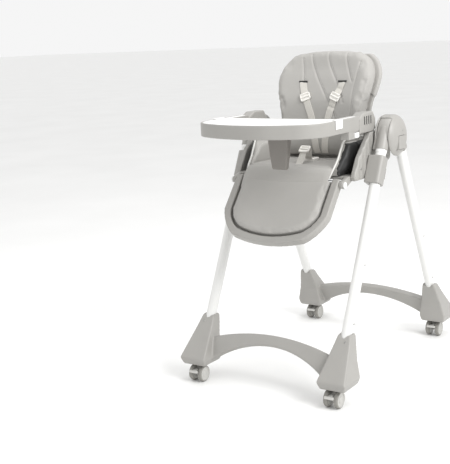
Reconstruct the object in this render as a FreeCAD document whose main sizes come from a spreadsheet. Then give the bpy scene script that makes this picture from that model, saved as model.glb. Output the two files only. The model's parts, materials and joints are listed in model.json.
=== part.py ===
import FreeCAD, Part

import os
import re

import Sketcher

# Folding baby high chair. +X is the child's left, -Y is the front (tray side), +Z is up.
# The origin is on the floor under the middle of the whole chair. Millimetres and degrees.
#
# The two leg frames cross at a hub pivot on each side. The seat rides on sliders along the
# front tubes, the back reclines, the armrests fold up with the tray, the footrest tilts and
# each foot stands on a swivelling twin-wheel castor.

doc = FreeCAD.newDocument("high_chair")
sheet = doc.addObject("Spreadsheet::Sheet", "dims")

DIMENSIONS = [
    # legs and hub
    ("leg_angle", 26, "lean of each leg frame from vertical"),
    ("tube_radius", 17, "outer radius of a leg tube"),
    ("tube_wall", 1.5, "wall of a leg tube"),
    ("tube_x", 252.7, "middle plane of the leg tubes"),
    ("tube_offset", 53.4, "leg pivot to tube axis, square to the tube"),
    ("pivot_z", 762, "height of the leg pivot"),
    ("hub_radius", 68, "round hub cover"),
    ("hub_rise", 18, "hub middle above the leg pivot"),
    ("hub_plate", 6, "inner disc of the hub"),
    ("layer_gap", 0.7, "between the hub's layers"),
    ("cap_thick", 23, "hub cap"),
    ("sleeve_wall", 3, "moulded sleeve round a tube"),
    ("sleeve_reach", 40, "sleeve below the hub middle"),
    ("pin_radius", 7, "leg pivot pin"),
    ("boss_wall", 9, "boss round the pivot pin"),
    ("gap", 0.3, "clearance between pieces of different bodies"),
    ("running_fit", 0.08, "radial play of a pin in its bore"),
    ("press_gap", 0.05, "radial play of a tube in its moulding"),
    # fold buttons
    ("button_wide", 46, "fold button along the chair"),
    ("button_tall", 43, "fold button height"),
    ("button_back", 8, "fold button middle in front of the leg pivot"),
    ("button_drop", 2, "fold button middle below the leg pivot"),
    ("button_travel", 5, "how far a fold button presses in"),
    ("button_deep", 12, "thickness of a fold button"),
    # feet and arch bars
    ("toe_beyond", 20, "toe of a foot beyond the tube axis at floor height"),
    ("toe_up", 26, "toe above the underside of a foot"),
    ("toe_under_beyond", 10, "front of the underside beyond that axis"),
    ("heel_inside", 86, "back of the underside inside that axis"),
    ("shin_inside", 59, "bend at the front of a foot inside that axis"),
    ("shin_z", 176, "height of that bend"),
    ("ankle_z", 212, "top of a foot"),
    ("ankle_half", 20, "half width of the top of a foot"),
    ("sole_inner_x", 206, "inner edge of a foot's underside"),
    ("sole_outer_x", 304, "outer edge of a foot's underside"),
    ("foot_round", 9, "rounding of a foot"),
    ("bar_thick", 24, "arch bar along the chair"),
    ("bar_end_x", 214, "half span of the arch"),
    ("bar_top_mid_z", 170, "top of the arch at the middle"),
    ("bar_top_end_z", 141, "top of the arch at the feet"),
    ("bar_low_mid_z", 137, "underside of the arch at the middle"),
    ("bar_low_end_z", 66, "underside of the arch at the feet"),
    # castors
    ("wheel_radius", 27, "castor wheel"),
    ("wheel_wide", 18, "one castor wheel"),
    ("wheel_gap", 15, "between the two wheels of a castor"),
    ("wheel_clear", 4, "castor wheel to the underside of a foot"),
    ("wheel_trail", 20, "swivel axis to wheel axis"),
    ("stem_inside", 33, "castor's swivel axis inside the tube axis at floor height"),
    ("stem_x", 250.6, "castor's swivel axis"),
    ("stem_radius", 5, "castor stem"),
    ("stem_up", 34, "castor stem inside the foot"),
    ("axle_radius", 4, "castor axle"),
    ("fork_thick", 13, "castor body between its wheels"),
    ("pedal_thick", 8, "brake pedal"),
    # seat
    ("panel_gap", 4, "side panel to hub"),
    ("panel_thick", 18, "side panel"),
    ("panel_top_z", 799, "front top corner of a side panel"),
    ("panel_under_z", 655, "underside of a side panel"),
    ("pan_top_z", 672, "top of the seat pan"),
    ("pan_thick", 10, "seat pan"),
    ("pan_front", -205, "front edge of the seat pan"),
    ("pan_rear", 26, "rear edge of the seat pan"),
    ("slot_count", 7, "slots in one row of the seat pan"),
    ("slot_pitch", 44, "between slots across the pan"),
    ("cushion_thick", 22, "seat cushion"),
    ("cushion_half", 156, "half width of the seat cushion"),
    ("cushion_front", -215, "front edge of the seat cushion"),
    ("wing_thick", 22, "side wing of the seat cushion"),
    ("wing_top_z", 772, "top of a side wing"),
    ("slider_up", 92, "slider along its tube"),
    ("slider_front", 21, "slider in front of the tube axis"),
    ("slider_rear", 25, "slider behind the tube axis"),
    ("slider_z", 680, "middle of the slider on the tube axis"),
    ("hole_pitch", 35, "between the height holes"),
    ("hole_radius", 4, "height hole"),
    # backrest
    ("recline_y", 31, "recline axis behind the leg pivot"),
    ("recline_z", 720, "height of the recline axis"),
    ("back_top_z", 1050, "top of the backrest"),
    ("back_half", 183, "half width of the backrest at its widest"),
    ("back_waist", 150, "half width of the backrest at the seat"),
    ("back_shell", 14, "thickness of the back shell"),
    ("strap_thick", 3, "harness webbing"),
    ("strap_x", 52, "shoulder strap from the middle"),
    ("strap_wide", 25, "width of the harness webbing"),
    # armrests and tray
    ("arm_wide", 35, "width of an armrest"),
    ("arm_gap", 5, "armrest to hub"),
    ("arm_behind", 11, "rear end of an armrest behind its fold axis"),
    ("arm_front", -155, "front end of an armrest"),
    ("arm_under_z", 800, "underside of an armrest"),
    ("arm_top_z", 864, "top of an armrest"),
    ("arm_pivot_y", -52, "fold axis of the armrests"),
    ("arm_pivot_z", 822, "height of that axis"),
    ("ear_thick", 8, "ear that carries an armrest"),
    ("joint_pin", 6, "radius of the seat's pivot pins"),
    ("tongue_reach", 75, "tongue in front of an armrest"),
    ("tongue_thick", 15, "width of the tongue"),
    ("tongue_tall", 16, "height of the tongue"),
    ("tongue_z", 824, "underside of the tongue"),
    ("tray_front", -487, "front edge of the tray"),
    ("tray_corner_y", -453, "tray corner, where the front curve starts"),
    ("tray_corner_x", 150, "that corner across the chair"),
    ("tray_side_y", -362, "end of the tray's straight side"),
    ("tray_rear", -250, "rear edge of the tray between its arms"),
    ("tray_top_z", 856, "top of the tray rim"),
    ("tray_deep", 43, "height of the tray rim"),
    ("insert_inset", 7, "tray insert inside the rim's outer edge"),
    ("insert_z", 847, "ledge the tray insert lies on"),
    ("bowl_inset", 20, "bowl of the insert inside the outer edge"),
    ("bowl_floor_z", 838, "underside of the bowl"),
    ("cup_floor_z", 832, "underside of the cup recess"),
    ("cup_x", -105, "cup recess across the tray"),
    ("cup_y", -400, "cup recess along the tray"),
    ("post_front", -288, "front face of the crotch post"),
    ("post_rear", -258, "rear face of the crotch post"),
    ("clip_front", -316, "front edge of a tray clip"),
    ("clip_long", 42, "length of a tray clip"),
    ("tray_floor", 5, "floor of the tray"),
    ("insert_floor", 4, "floor of the tray insert"),
    ("cup_radius", 33, "cup recess"),
    ("post_taper", 6, "how far each face of the post leans in"),
    ("post_half", 36, "half width of the crotch post"),
    ("post_low_z", 696, "lower end of the crotch post"),
    # footrest
    ("rest_axis_y", -233, "tilt axis of the footrest"),
    ("rest_axis_z", 650, "height of that axis"),
    ("rest_angle", 50, "footrest below horizontal as shown"),
    ("rest_ear", 15, "footrest to side panel, for the ear that carries it"),
    ("rest_long", 226, "length of the footrest"),
    ("rest_corner", 128, "half width of the footrest's end"),
    ("rest_side", 116, "length of the footrest's straight side"),
    ("rest_thick", 30, "thickness of the footrest frame"),
    ("rest_border", 24, "border round the footrest pad"),
    ("pad_gap", 3, "gap round the footrest pad"),
]

NAMES = set()
for row, (alias, number, note) in enumerate(DIMENSIONS, start=1):
    sheet.set(f"A{row}", note)
    sheet.set(f"B{row}", str(number))
    sheet.setAlias(f"B{row}", alias)
    NAMES.add(alias)

nodes = {}


def bind(text):
    """Turn a formula in plain dimension names into one that reads the sheet."""
    return re.sub(r"[a-z][a-z_]*", lambda m: "dims." + m.group() if m.group() in NAMES else m.group(),
                  str(text))


def derive(alias, formula):
    """A worked-out dimension, kept in the sheet like the driving ones."""
    row = len(NAMES) + 1
    sheet.set(f"A{row}", "derived")
    sheet.set(f"B{row}", "=" + formula)
    sheet.setAlias(f"B{row}", alias)
    NAMES.add(alias)
    doc.recompute()


doc.recompute()
# Distance from the pivot plane to a tube's axis at floor height, and what hangs on it.
derive("axis_floor", "pivot_z * tan(leg_angle) + tube_offset / cos(leg_angle)")
derive("toe_reach", "axis_floor + toe_beyond")
derive("toe_under_reach", "axis_floor + toe_under_beyond")
derive("heel_reach", "axis_floor - heel_inside")
derive("shin_reach", "axis_floor - shin_inside")
derive("stem_reach", "axis_floor - stem_inside")
derive("foot_under_z", "wheel_radius * 2 + wheel_clear")
derive("toe_z", "foot_under_z + toe_up")
# The leg pivot lies this far behind the middle of the chair, from tray front to rear toes.
derive("pivot_y", "(-tray_front - toe_reach) / 2")
# The hub's layers lie either side of the tubes, and the seat between the hubs.
derive("hub_inner_x", "tube_x - tube_radius - sleeve_wall - layer_gap - hub_plate")
derive("cap_x", "tube_x + tube_radius + sleeve_wall + layer_gap")
derive("panel_outer_x", "hub_inner_x - panel_gap")
derive("arm_outer_x", "hub_inner_x - arm_gap")
derive("arm_inner_x", "arm_outer_x - arm_wide")
derive("tongue_x", "arm_inner_x + 10")
derive("tray_half", "arm_outer_x - 1")
derive("rest_half", "panel_outer_x - panel_thick - rest_ear")
derive("hub_z", "pivot_z + hub_rise")
derive("sleeve_radius", "tube_radius + sleeve_wall")
derive("fork_half", "fork_thick / 2")
derive("ankle_near", "heel_reach - 36")
derive("deck_z", "tray_top_z - tray_deep + tray_floor")
derive("cushion_top_z", "pan_top_z + gap + cushion_thick")
derive("cushion_base", "cushion_top_z + 6")
derive("rail_inner_x", "panel_outer_x - panel_thick")


def value(formula):
    result = sheet.evalExpression(bind(formula))
    return float(getattr(result, "Value", result))


def place(piece, at=(0, 0, 0), tilt=0):
    """Set and bind a placement: a point, and a turn about the X axis through it."""
    base = FreeCAD.Vector(*[value(part) for part in at])
    turn = FreeCAD.Rotation(FreeCAD.Vector(1, 0, 0), value(tilt) or 1e-9)
    piece.Placement = FreeCAD.Placement(base, turn)
    for axis, part in zip("xyz", at):
        piece.setExpression(f"Placement.Base.{axis}", bind(part))
    if str(tilt) != "0":
        piece.setExpression("Placement.Rotation.Angle", bind(tilt))
    return piece


def on_pivot(y):
    """A distance from the leg pivot plane, as a place along the chair."""
    return f"pivot_y + ({y})"


def draw(sketch, outline, first=0):
    """A closed outline. Each point is (x, y) or (x, y, bulge of the arc to the next point)."""
    points = [FreeCAD.Vector(value(p[0]), value(p[1]), 0) for p in outline]
    count = len(points)
    for index, point in enumerate(outline):
        start = points[index]
        end = points[(index + 1) % count]
        if len(point) == 2:
            sketch.addGeometry(Part.LineSegment(start, end))
            continue
        chord = end - start
        side = FreeCAD.Vector(chord.y, -chord.x, 0).normalize()
        middle = (start + end) / 2 + side * value(point[2])
        ends = (start, end) if value(point[2]) > 0 else (end, start)
        sketch.addGeometry(Part.Arc(ends[0], middle, ends[1]))
    for index, point in enumerate(outline):
        edge = first + index
        following = (index + 1) % count
        ends = end_numbers(point)
        next_ends = end_numbers(outline[following])
        sketch.addConstraint(Sketcher.Constraint("Coincident", edge, ends[1], first + following,
                                                 next_ends[0]))
        for kind, formula in (("DistanceX", point[0]), ("DistanceY", point[1])):
            number = sketch.addConstraint(Sketcher.Constraint(kind, -1, 1, edge, ends[0], value(formula)))
            sketch.setExpression(f"Constraints[{number}]", bind(formula))
    for index, point in enumerate(outline):
        if len(point) == 3:
            other = outline[(index + 1) % count]
            chord = f"sqrt((({other[0]}) - ({point[0]}))^2 + (({other[1]}) - ({point[1]}))^2)"
            radius = f"({chord}^2 / 4 + ({point[2]})^2) / (2 * abs({point[2]}))"
            number = sketch.addConstraint(Sketcher.Constraint("Radius", first + index, value(radius)))
            sketch.setExpression(f"Constraints[{number}]", bind(radius))


def end_numbers(point):
    """Which end of the edge that leaves a point is its first: arcs run anticlockwise."""
    clockwise = len(point) == 3 and value(point[2]) < 0
    return (2, 1) if clockwise else (1, 2)


def new_sketch(body, name, plane, offset):
    sketch = body.newObject("Sketcher::SketchObject", name)
    base = [feature for feature in body.Origin.OriginFeatures if feature.Role == plane][0]
    sketch.AttachmentSupport = [(base, "")]
    sketch.MapMode = "FlatFace"
    sketch.setExpression("AttachmentOffset.Base.z", bind(offset))
    return sketch


def prism(name, plane, outline, low, high, at=(0, 0, 0), tilt=0):
    """A body padded from an outline on one of its own planes, between two world offsets."""
    body = doc.addObject("PartDesign::Body", name)
    offset = f"-({high})" if plane == "XZ_Plane" else low
    sketch = new_sketch(body, name + "_outline", plane, offset)
    draw(sketch, outline)
    pad = body.newObject("PartDesign::Pad", name + "_pad")
    pad.Profile = sketch
    pad.setExpression("Length", bind(f"({high}) - ({low})"))
    body.Tip = pad
    return place(body, at, tilt)


def pocket(body, name, plane, outline, low, high):
    """Cut an outline out of a body between two offsets from one of its own planes."""
    offset = f"-({high})" if plane == "XZ_Plane" else low
    sketch = new_sketch(body, name + "_outline", plane, offset)
    draw(sketch, outline)
    doc.recompute()
    before = body.Shape.Volume
    cut = body.newObject("PartDesign::Pocket", name)
    cut.Profile = sketch
    cut.Reversed = True
    cut.setExpression("Length", bind(f"({high}) - ({low})"))
    body.Tip = cut
    doc.recompute()
    if not body.Shape.Volume < before - 1:
        raise RuntimeError(name + " cuts nothing")
    return cut


def round_edges(body, name, radius, chosen):
    """Fillet the edges of a body that the test picks."""
    doc.recompute()
    base = body.Tip
    picks = [f"Edge{i}" for i, edge in enumerate(base.Shape.Edges, start=1) if chosen(edge)]
    fillet = body.newObject("PartDesign::Fillet", name)
    fillet.Base = (base, picks)
    fillet.setExpression("Radius", bind(radius))
    body.Tip = fillet
    return fillet


def along(axis):
    """Test for straight edges that run along one axis of the body."""
    def test(edge):
        if edge.Curve.TypeId != "Part::GeomLine":
            return False
        return abs(getattr(edge.Curve.Direction, axis)) > 0.999
    return test


def cylinder(name, radius, low, high, at=(0, 0, 0), axis="z", tilt=0):
    """A round bar along X or Z of its own frame, between two offsets from its point."""
    bar = doc.addObject("Part::Cylinder", name)
    bar.setExpression("Radius", bind(radius))
    bar.setExpression("Height", bind(f"({high}) - ({low})"))
    if axis == "x":
        spot = (f"({at[0]}) + ({low})", at[1], at[2])
        bar.Placement = FreeCAD.Placement(
            FreeCAD.Vector(*[value(part) for part in spot]),
            FreeCAD.Rotation(FreeCAD.Vector(0, 1, 0), 90))
        for letter, part in zip("xyz", spot):
            bar.setExpression(f"Placement.Base.{letter}", bind(part))
        return bar
    spot = (at[0], f"({at[1]}) - ({low}) * sin({tilt})", f"({at[2]}) + ({low}) * cos({tilt})")
    return place(bar, spot, tilt)


def box(name, x, y, z, at=(0, 0, 0), tilt=0):
    """A block from (low, high) pairs, in a frame turned about X at a point."""
    block = doc.addObject("Part::Box", name)
    for size, pair in zip(("Length", "Width", "Height"), (x, y, z)):
        block.setExpression(size, bind(f"({pair[1]}) - ({pair[0]})"))
    spot = (
        f"({at[0]}) + ({x[0]})",
        f"({at[1]}) + ({y[0]}) * cos({tilt}) - ({z[0]}) * sin({tilt})",
        f"({at[2]}) + ({y[0]}) * sin({tilt}) + ({z[0]}) * cos({tilt})",
    )
    return place(block, spot, tilt)


def fuse(name, *pieces):
    joined = doc.addObject("Part::MultiFuse", name)
    joined.Shapes = list(pieces)
    joined.Refine = True
    return joined


def cut(name, base, *tools):
    tool = tools[0] if len(tools) == 1 else fuse(name + "_tools", *tools)
    result = doc.addObject("Part::Cut", name)
    result.Base = base
    result.Tool = tool
    return result


def common(name, *pieces):
    result = doc.addObject("Part::MultiCommon", name)
    result.Shapes = list(pieces)
    return result


def rounded(name, base, radius, chosen=lambda edge: True):
    """Part fillet of the chosen edges, sized from the sheet."""
    doc.recompute()
    size = value(radius)
    fillet = doc.addObject("Part::Fillet", name)
    fillet.Base = base
    fillet.Edges = [(i, size, size) for i, edge in enumerate(base.Shape.Edges, start=1) if chosen(edge)]
    return fillet


def node(label, piece):
    """Name a finished sub-part: its label is also its file name."""
    piece.Label = label
    nodes[label] = piece
    return piece


def span(side, inner, outer):
    """The (low, high) pair of a slab between two distances from the middle plane."""
    return (inner, outer) if side > 0 else (f"-({outer})", f"-({inner})")


def sided(side, x):
    return x if side > 0 else f"-({x})"


SIDES = ((1, "left"), (-1, "right"))
ENDS = ((-1, "front"), (1, "rear"))


def tube_frame(side, end, z="0"):
    """Origin on a tube's axis at a height, and the turn that lays Z along the tube."""
    reach = f"{end} * (axis_floor - ({z}) * tan(leg_angle))"
    return (sided(side, "tube_x"), on_pivot(reach), z), f"{end} * leg_angle"


def leg(side, side_name, end, end_name):
    name = f"{end_name}_leg_{side_name}"
    at, tilt = tube_frame(side, end)
    low, high = "(foot_under_z + 60) / cos(leg_angle)", "(hub_z + 25) / cos(leg_angle)"
    outer = cylinder(name + "_outer", "tube_radius", low, high, at, "z", tilt)
    bore = cylinder(name + "_bore", "tube_radius - tube_wall", f"{low} - 1", f"{high} + 1", at, "z", tilt)
    tools = [bore]
    if end < 0:
        # Height holes in the rear wall, from the slider's pin downward.
        for index in range(7):
            step = f"slider_z / cos(leg_angle) - {index} * hole_pitch"
            spot = (at[0], f"({at[1]}) - ({step}) * sin({tilt})", f"({step}) * cos({tilt})")
            hole = cylinder(f"{name}_hole{index}", "hole_radius", 0, "tube_radius + 2", spot, "z",
                            f"{tilt} - 90")
            tools.append(hole)
    node(name, cut(name + "_tube", outer, *tools))


def base_frame(end, end_name):
    """Two feet and the arch bar between them, one moulding."""
    pieces = []
    points = [
        ("ankle_near", "ankle_z"), ("shin_reach - 24", "ankle_z - 4"), ("shin_reach", "shin_z"),
        ("toe_reach", "toe_z"), ("toe_under_reach", "foot_under_z"), ("heel_reach", "foot_under_z"),
        ("heel_reach - 8", "foot_under_z + 74"),
    ]
    side_view = [(f"{end} * ({y})", z) for y, z in points]
    for side, side_name in SIDES:
        name = f"{end_name}_foot_{side_name}"
        lengthwise = prism(name + "_side", "YZ_Plane", side_view,
                           *span(side, "sole_inner_x - 5", "sole_outer_x + 5"),
                           at=(0, "pivot_y", 0))
        round_edges(lengthwise, name + "_side_round", "foot_round", along("x"))
        front_view = [
            (sided(side, "tube_x - ankle_half"), "ankle_z + 5"),
            (sided(side, "tube_x + ankle_half"), "ankle_z + 5"),
            (sided(side, "sole_outer_x"), "foot_under_z + 22"),
            (sided(side, "sole_outer_x - 10"), "foot_under_z - 5"),
            (sided(side, "sole_inner_x + 10"), "foot_under_z - 5"),
            (sided(side, "sole_inner_x"), "foot_under_z + 22"),
        ]
        near, far = "heel_reach - 60", "toe_reach + 10"
        low, high = (near, far) if end > 0 else (f"-({far})", f"-({near})")
        crosswise = prism(name + "_front", "XZ_Plane", front_view, low, high, at=(0, "pivot_y", 0))
        round_edges(crosswise, name + "_front_round", "foot_round", along("y"))
        pieces.append(common(name + "_block", lengthwise, crosswise))
    bar_frame = (0, on_pivot(f"{end} * axis_floor"), 0)
    squash = "cos(leg_angle)"
    arch = [
        ("bar_end_x", f"bar_low_end_z / {squash}", f"(bar_low_mid_z - bar_low_end_z) / {squash}"),
        ("-bar_end_x", f"bar_low_end_z / {squash}"),
        ("-bar_end_x", f"bar_top_end_z / {squash}", f"(bar_top_end_z - bar_top_mid_z) / {squash}"),
        ("bar_end_x", f"bar_top_end_z / {squash}"),
    ]
    bar = prism(f"{end_name}_bar", "XZ_Plane", arch, "-bar_thick / 2", "bar_thick / 2", bar_frame,
                f"{end} * leg_angle")
    pieces.append(rounded(f"{end_name}_bar_round", bar, "foot_round / 2",
                          lambda edge: edge.Curve.TypeId == "Part::GeomCircle"))
    whole = fuse(f"{end_name}_base_whole", *pieces)
    tools = []
    for side, side_name in SIDES:
        at, tilt = tube_frame(side, end)
        tools.append(cylinder(f"{end_name}_socket_{side_name}", "tube_radius + press_gap",
                              "(foot_under_z + 60) / cos(leg_angle)", "(ankle_z + 40) / cos(leg_angle)", at,
                              "z", tilt))
        spot = (sided(side, "stem_x"), on_pivot(f"{end} * stem_reach"), "foot_under_z")
        tools.append(cylinder(f"{end_name}_stem_bore_{side_name}", "stem_radius + running_fit",
                              "-5", "stem_up + gap", spot))
    node(f"{end_name}_base", cut(f"{end_name}_base_cut", whole, *tools))


def hub_socket(side, side_name):
    """Front half of a hub: inner disc, sleeve over the front tube and the pivot pin."""
    name = f"hub_socket_{side_name}"
    pivot = (0, "pivot_y", "pivot_z")
    middle = (0, "pivot_y", "hub_z")
    disc = cylinder(name + "_disc", "hub_radius - 3", *span(side, "hub_inner_x", "hub_inner_x + hub_plate"),
                    middle, "x")
    pin = cylinder(name + "_pin", "pin_radius", *span(side, "hub_inner_x", "cap_x - 1"), pivot, "x")
    at, tilt = tube_frame(side, -1)
    low = "(hub_z - sleeve_reach) / cos(leg_angle)"
    high = "(hub_z + 28) / cos(leg_angle)"
    sleeve = cylinder(name + "_sleeve", "sleeve_radius", low, high, at, "z", tilt)
    bore = cylinder(name + "_bore", "tube_radius + press_gap", f"{low} - 5", "(hub_z + 25) / cos(leg_angle)",
                    at, "z", tilt)
    web = box(name + "_web", span(side, "hub_inner_x", "tube_x - tube_radius"), ("-10", "10"), (low, high),
              (0, *at[1:]), tilt)
    node(name, cut(name + "_cut", fuse(name + "_whole", disc, pin, sleeve, web), bore))


def hub_cover(side, side_name):
    """Rear half of a hub: round cap, top rim, sleeve over the rear tube and pin boss."""
    name = f"hub_cover_{side_name}"
    middle = (0, "pivot_y", "hub_z")
    cap = cylinder(name + "_cap", "hub_radius", *span(side, "cap_x", "cap_x + cap_thick"), middle, "x")
    outer_x = "cap_x + cap_thick"

    def outer_rim(edge):
        round_edge = edge.Curve.TypeId == "Part::GeomCircle"
        return round_edge and abs(abs(edge.CenterOfMass.x) - value(outer_x)) < 0.1
    cap = rounded(name + "_cap_round", cap, "cap_thick * 0.9", outer_rim)
    # The rim closes the hub over the top, clear of the front sleeve through the whole fold.
    rim = cylinder(name + "_rim", "hub_radius", *span(side, "hub_inner_x + hub_plate + gap * 2", "cap_x"),
                   middle, "x")
    hollow = cylinder(name + "_hollow", "hub_radius - 5", *span(side, "hub_inner_x", "cap_x + 0.01"),
                      middle, "x")
    keep = box(name + "_keep", span(side, "hub_inner_x", "cap_x"), ("-30", "hub_radius + 5"),
               ("18", "hub_radius + 5"), middle)
    rim = common(name + "_rim_kept", cut(name + "_rim_ring", rim, hollow), keep)
    pivot = (0, "pivot_y", "pivot_z")
    inner, outer = "hub_inner_x + hub_plate + gap", "cap_x"
    boss = cylinder(name + "_boss", "pin_radius + boss_wall", *span(side, inner, outer), pivot, "x")
    at, tilt = tube_frame(side, 1)
    low = "(hub_z - sleeve_reach - 14) / cos(leg_angle)"
    high = "(hub_z + 28) / cos(leg_angle)"
    sleeve = cylinder(name + "_sleeve", "sleeve_radius - gap", low, high, at, "z", tilt)
    web = box(name + "_web", span(side, "tube_x + tube_radius", "cap_x + 2"), ("-12", "12"),
              (low, high), (0, *at[1:]), tilt)
    whole = fuse(name + "_whole", cap, rim, boss, sleeve, web)
    tube_bore = cylinder(name + "_tube_bore", "tube_radius + press_gap", f"{low} - 5",
                         "(hub_z + 25) / cos(leg_angle)", at, "z", tilt)
    pin_bore = cylinder(name + "_pin_bore", "pin_radius + running_fit", *span(side, "hub_inner_x", "cap_x"),
                        pivot, "x")
    seat = box(name + "_button_seat", span(side, f"{outer_x} - button_deep - button_travel - gap",
                                           f"{outer_x} + 5"),
               ("-button_wide / 2 - gap", "button_wide / 2 + gap"),
               ("-button_tall / 2 - gap", "button_tall / 2 + gap"),
               (0, on_pivot("-button_back"), "pivot_z - button_drop"))
    node(name, cut(name + "_cut", whole, tube_bore, pin_bore, seat))
    button = box(name + "_button_block", span(side, f"{outer_x} - button_deep", f"{outer_x} + 1"),
                 ("-button_wide / 2", "button_wide / 2"), ("-button_tall / 2", "button_tall / 2"),
                 (0, on_pivot("-button_back"), "pivot_z - button_drop"))
    node(f"fold_button_{side_name}", rounded(name + "_button", button, 2))


def castor(side, side_name, end, end_name):
    """Twin-wheel castor: body with stem, a wheel pair on its axle, and a brake pedal."""
    tag = f"{end_name}_{side_name}"
    x = sided(side, "stem_x")
    stem_y = on_pivot(f"{end} * stem_reach")
    axle_y = f"{stem_y} - wheel_trail"
    top = "foot_under_z - gap"
    outline = [
        ("-wheel_trail - 7", "wheel_radius - 5"), ("-wheel_trail + 7", "wheel_radius - 9"),
        ("6", "wheel_radius + 10"), ("7", top), ("-7", top),
        ("-wheel_trail - 4", "wheel_radius + 20"), ("-wheel_trail - 4", "wheel_radius + 2"),
    ]
    fork = prism(f"fork_{tag}_plate", "YZ_Plane", outline, "-fork_half", "fork_half", (x, stem_y, 0))
    collar = cylinder(f"fork_{tag}_collar", "9", "wheel_radius * 2 - 1", top, (x, stem_y, 0))
    stem = cylinder(f"fork_{tag}_stem", "stem_radius", top, "foot_under_z + stem_up", (x, stem_y, 0))
    bore = cylinder(f"fork_{tag}_bore", "axle_radius + running_fit", "-fork_half - 1", "fork_half + 1",
                    (x, axle_y, "wheel_radius"), "x")
    node(f"castor_body_{tag}", cut(f"fork_{tag}_cut", fuse(f"fork_{tag}_whole", fork, collar, stem), bore))
    pieces = [cylinder(f"axle_{tag}", "axle_radius", "-wheel_gap / 2 - 3", "wheel_gap / 2 + 3",
                       (x, axle_y, "wheel_radius"), "x")]
    for sign in (1, -1):
        low, high = span(sign, "wheel_gap / 2", "wheel_gap / 2 + wheel_wide")
        wheel = cylinder(f"wheel_{tag}_{sign}".replace("-", "n"), "wheel_radius", low, high,
                         (x, axle_y, "wheel_radius"), "x")
        pieces.append(rounded(f"wheel_{tag}_{sign}_round".replace("-", "n"), wheel, 3,
                              lambda edge: edge.Curve.TypeId == "Part::GeomCircle"))
    node(f"castor_wheels_{tag}", fuse(f"wheels_{tag}_whole", *pieces))
    # The pedal reaches out behind the wheels from a pin in the castor body.
    lever = box(f"pedal_{tag}_lever", ("-fork_half", "fork_half"), ("-wheel_radius - 5", "-4.9"),
                ("wheel_radius + 9", "wheel_radius + 9 + pedal_thick"), (x, axle_y, 0))
    tab = box(f"pedal_{tag}_tab", ("-wheel_gap / 2 - 8", "wheel_gap / 2 + 8"),
              ("-wheel_radius - 9", "-wheel_radius - 2"),
              ("wheel_radius + 9", "wheel_radius + 9 + pedal_thick"), (x, axle_y, 0))
    node(f"castor_brake_{tag}", rounded(f"pedal_{tag}", fuse(f"pedal_{tag}_whole", lever, tab), 1.5))


def side_panel(side, side_name):
    """Seat side panel with the recline pin and the ear that carries the armrest."""
    name = f"side_panel_{side_name}"
    outline = [
        ("-78", "panel_top_z"), ("-159", "726"), ("-196", "panel_under_z + 12"),
        ("-188", "panel_under_z + 1"),
        ("pan_rear + 2", "panel_under_z"), ("pan_rear + 10", "panel_under_z + 23"), ("69", "701"),
        ("72", "772"),
        ("20", "panel_top_z"),
    ]
    panel = prism(name, "YZ_Plane", outline, *span(side, "rail_inner_x", "panel_outer_x"),
                  at=(0, "pivot_y", 0))
    ear = prism(name + "_ear", "YZ_Plane", [
        ("arm_pivot_y - 13", "panel_top_z - 8"), ("arm_pivot_y + 13", "panel_top_z - 8"),
        ("arm_pivot_y + 13", "arm_pivot_z + 3"), ("arm_pivot_y + 6", "arm_pivot_z + 12"),
        ("arm_pivot_y - 6", "arm_pivot_z + 12"), ("arm_pivot_y - 13", "arm_pivot_z + 3")],
        *span(side, "rail_inner_x", "rail_inner_x + ear_thick"), at=(0, "pivot_y", 0))
    recline = (0, on_pivot("recline_y"), "recline_z")
    trunnion = cylinder(name + "_trunnion", "joint_pin",
                        *span(side, "back_waist + 34", "panel_outer_x - 2"), recline, "x")
    bore = cylinder(name + "_bore", "joint_pin + running_fit",
                    *span(side, "rail_inner_x - 1", "panel_outer_x + 1"),
                    (0, on_pivot("arm_pivot_y"), "arm_pivot_z"), "x")
    node(name, cut(name + "_cut", fuse(name + "_whole", panel, ear, trunnion), bore))


def slider(side, side_name):
    name = f"slider_{side_name}"
    at, tilt = tube_frame(side, -1, "slider_z")
    middle = (0, *at[1:])
    block = box(name + "_block", span(side, "panel_outer_x", "tube_x + tube_radius + 4"),
                ("-slider_front", "slider_rear"), ("-slider_up / 2", "slider_up / 2"), middle, tilt)

    def upright_outer(edge):
        straight = edge.Curve.TypeId == "Part::GeomLine" and edge.Length > value("slider_up") - 1
        return straight and abs(edge.CenterOfMass.x) > value("tube_x")
    block = rounded(name + "_round", block, 12, upright_outer)
    bore = cylinder(name + "_bore", "tube_radius + gap", "-slider_up", "slider_up", at, "z", tilt)
    pin_hole = cylinder(name + "_pin_hole", "3 + gap", "0", "slider_rear + 5", at, "z", f"{tilt} - 90")
    node(name, cut(name + "_cut", block, bore, pin_hole))
    grip = box(f"height_lever_{side_name}_grip", span(side, "tube_x - 15", "tube_x + 13"),
               ("slider_rear + gap", "slider_rear + 12"), ("-19", "19"), middle, tilt)
    grip = rounded(f"height_lever_{side_name}_round", grip, 3)
    pin = cylinder(f"height_lever_{side_name}_pin", 3, "tube_radius + gap * 2", "slider_rear + 3", at, "z",
                   f"{tilt} - 90")
    node(f"height_lever_{side_name}", fuse(f"height_lever_{side_name}_whole", grip, pin))


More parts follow.
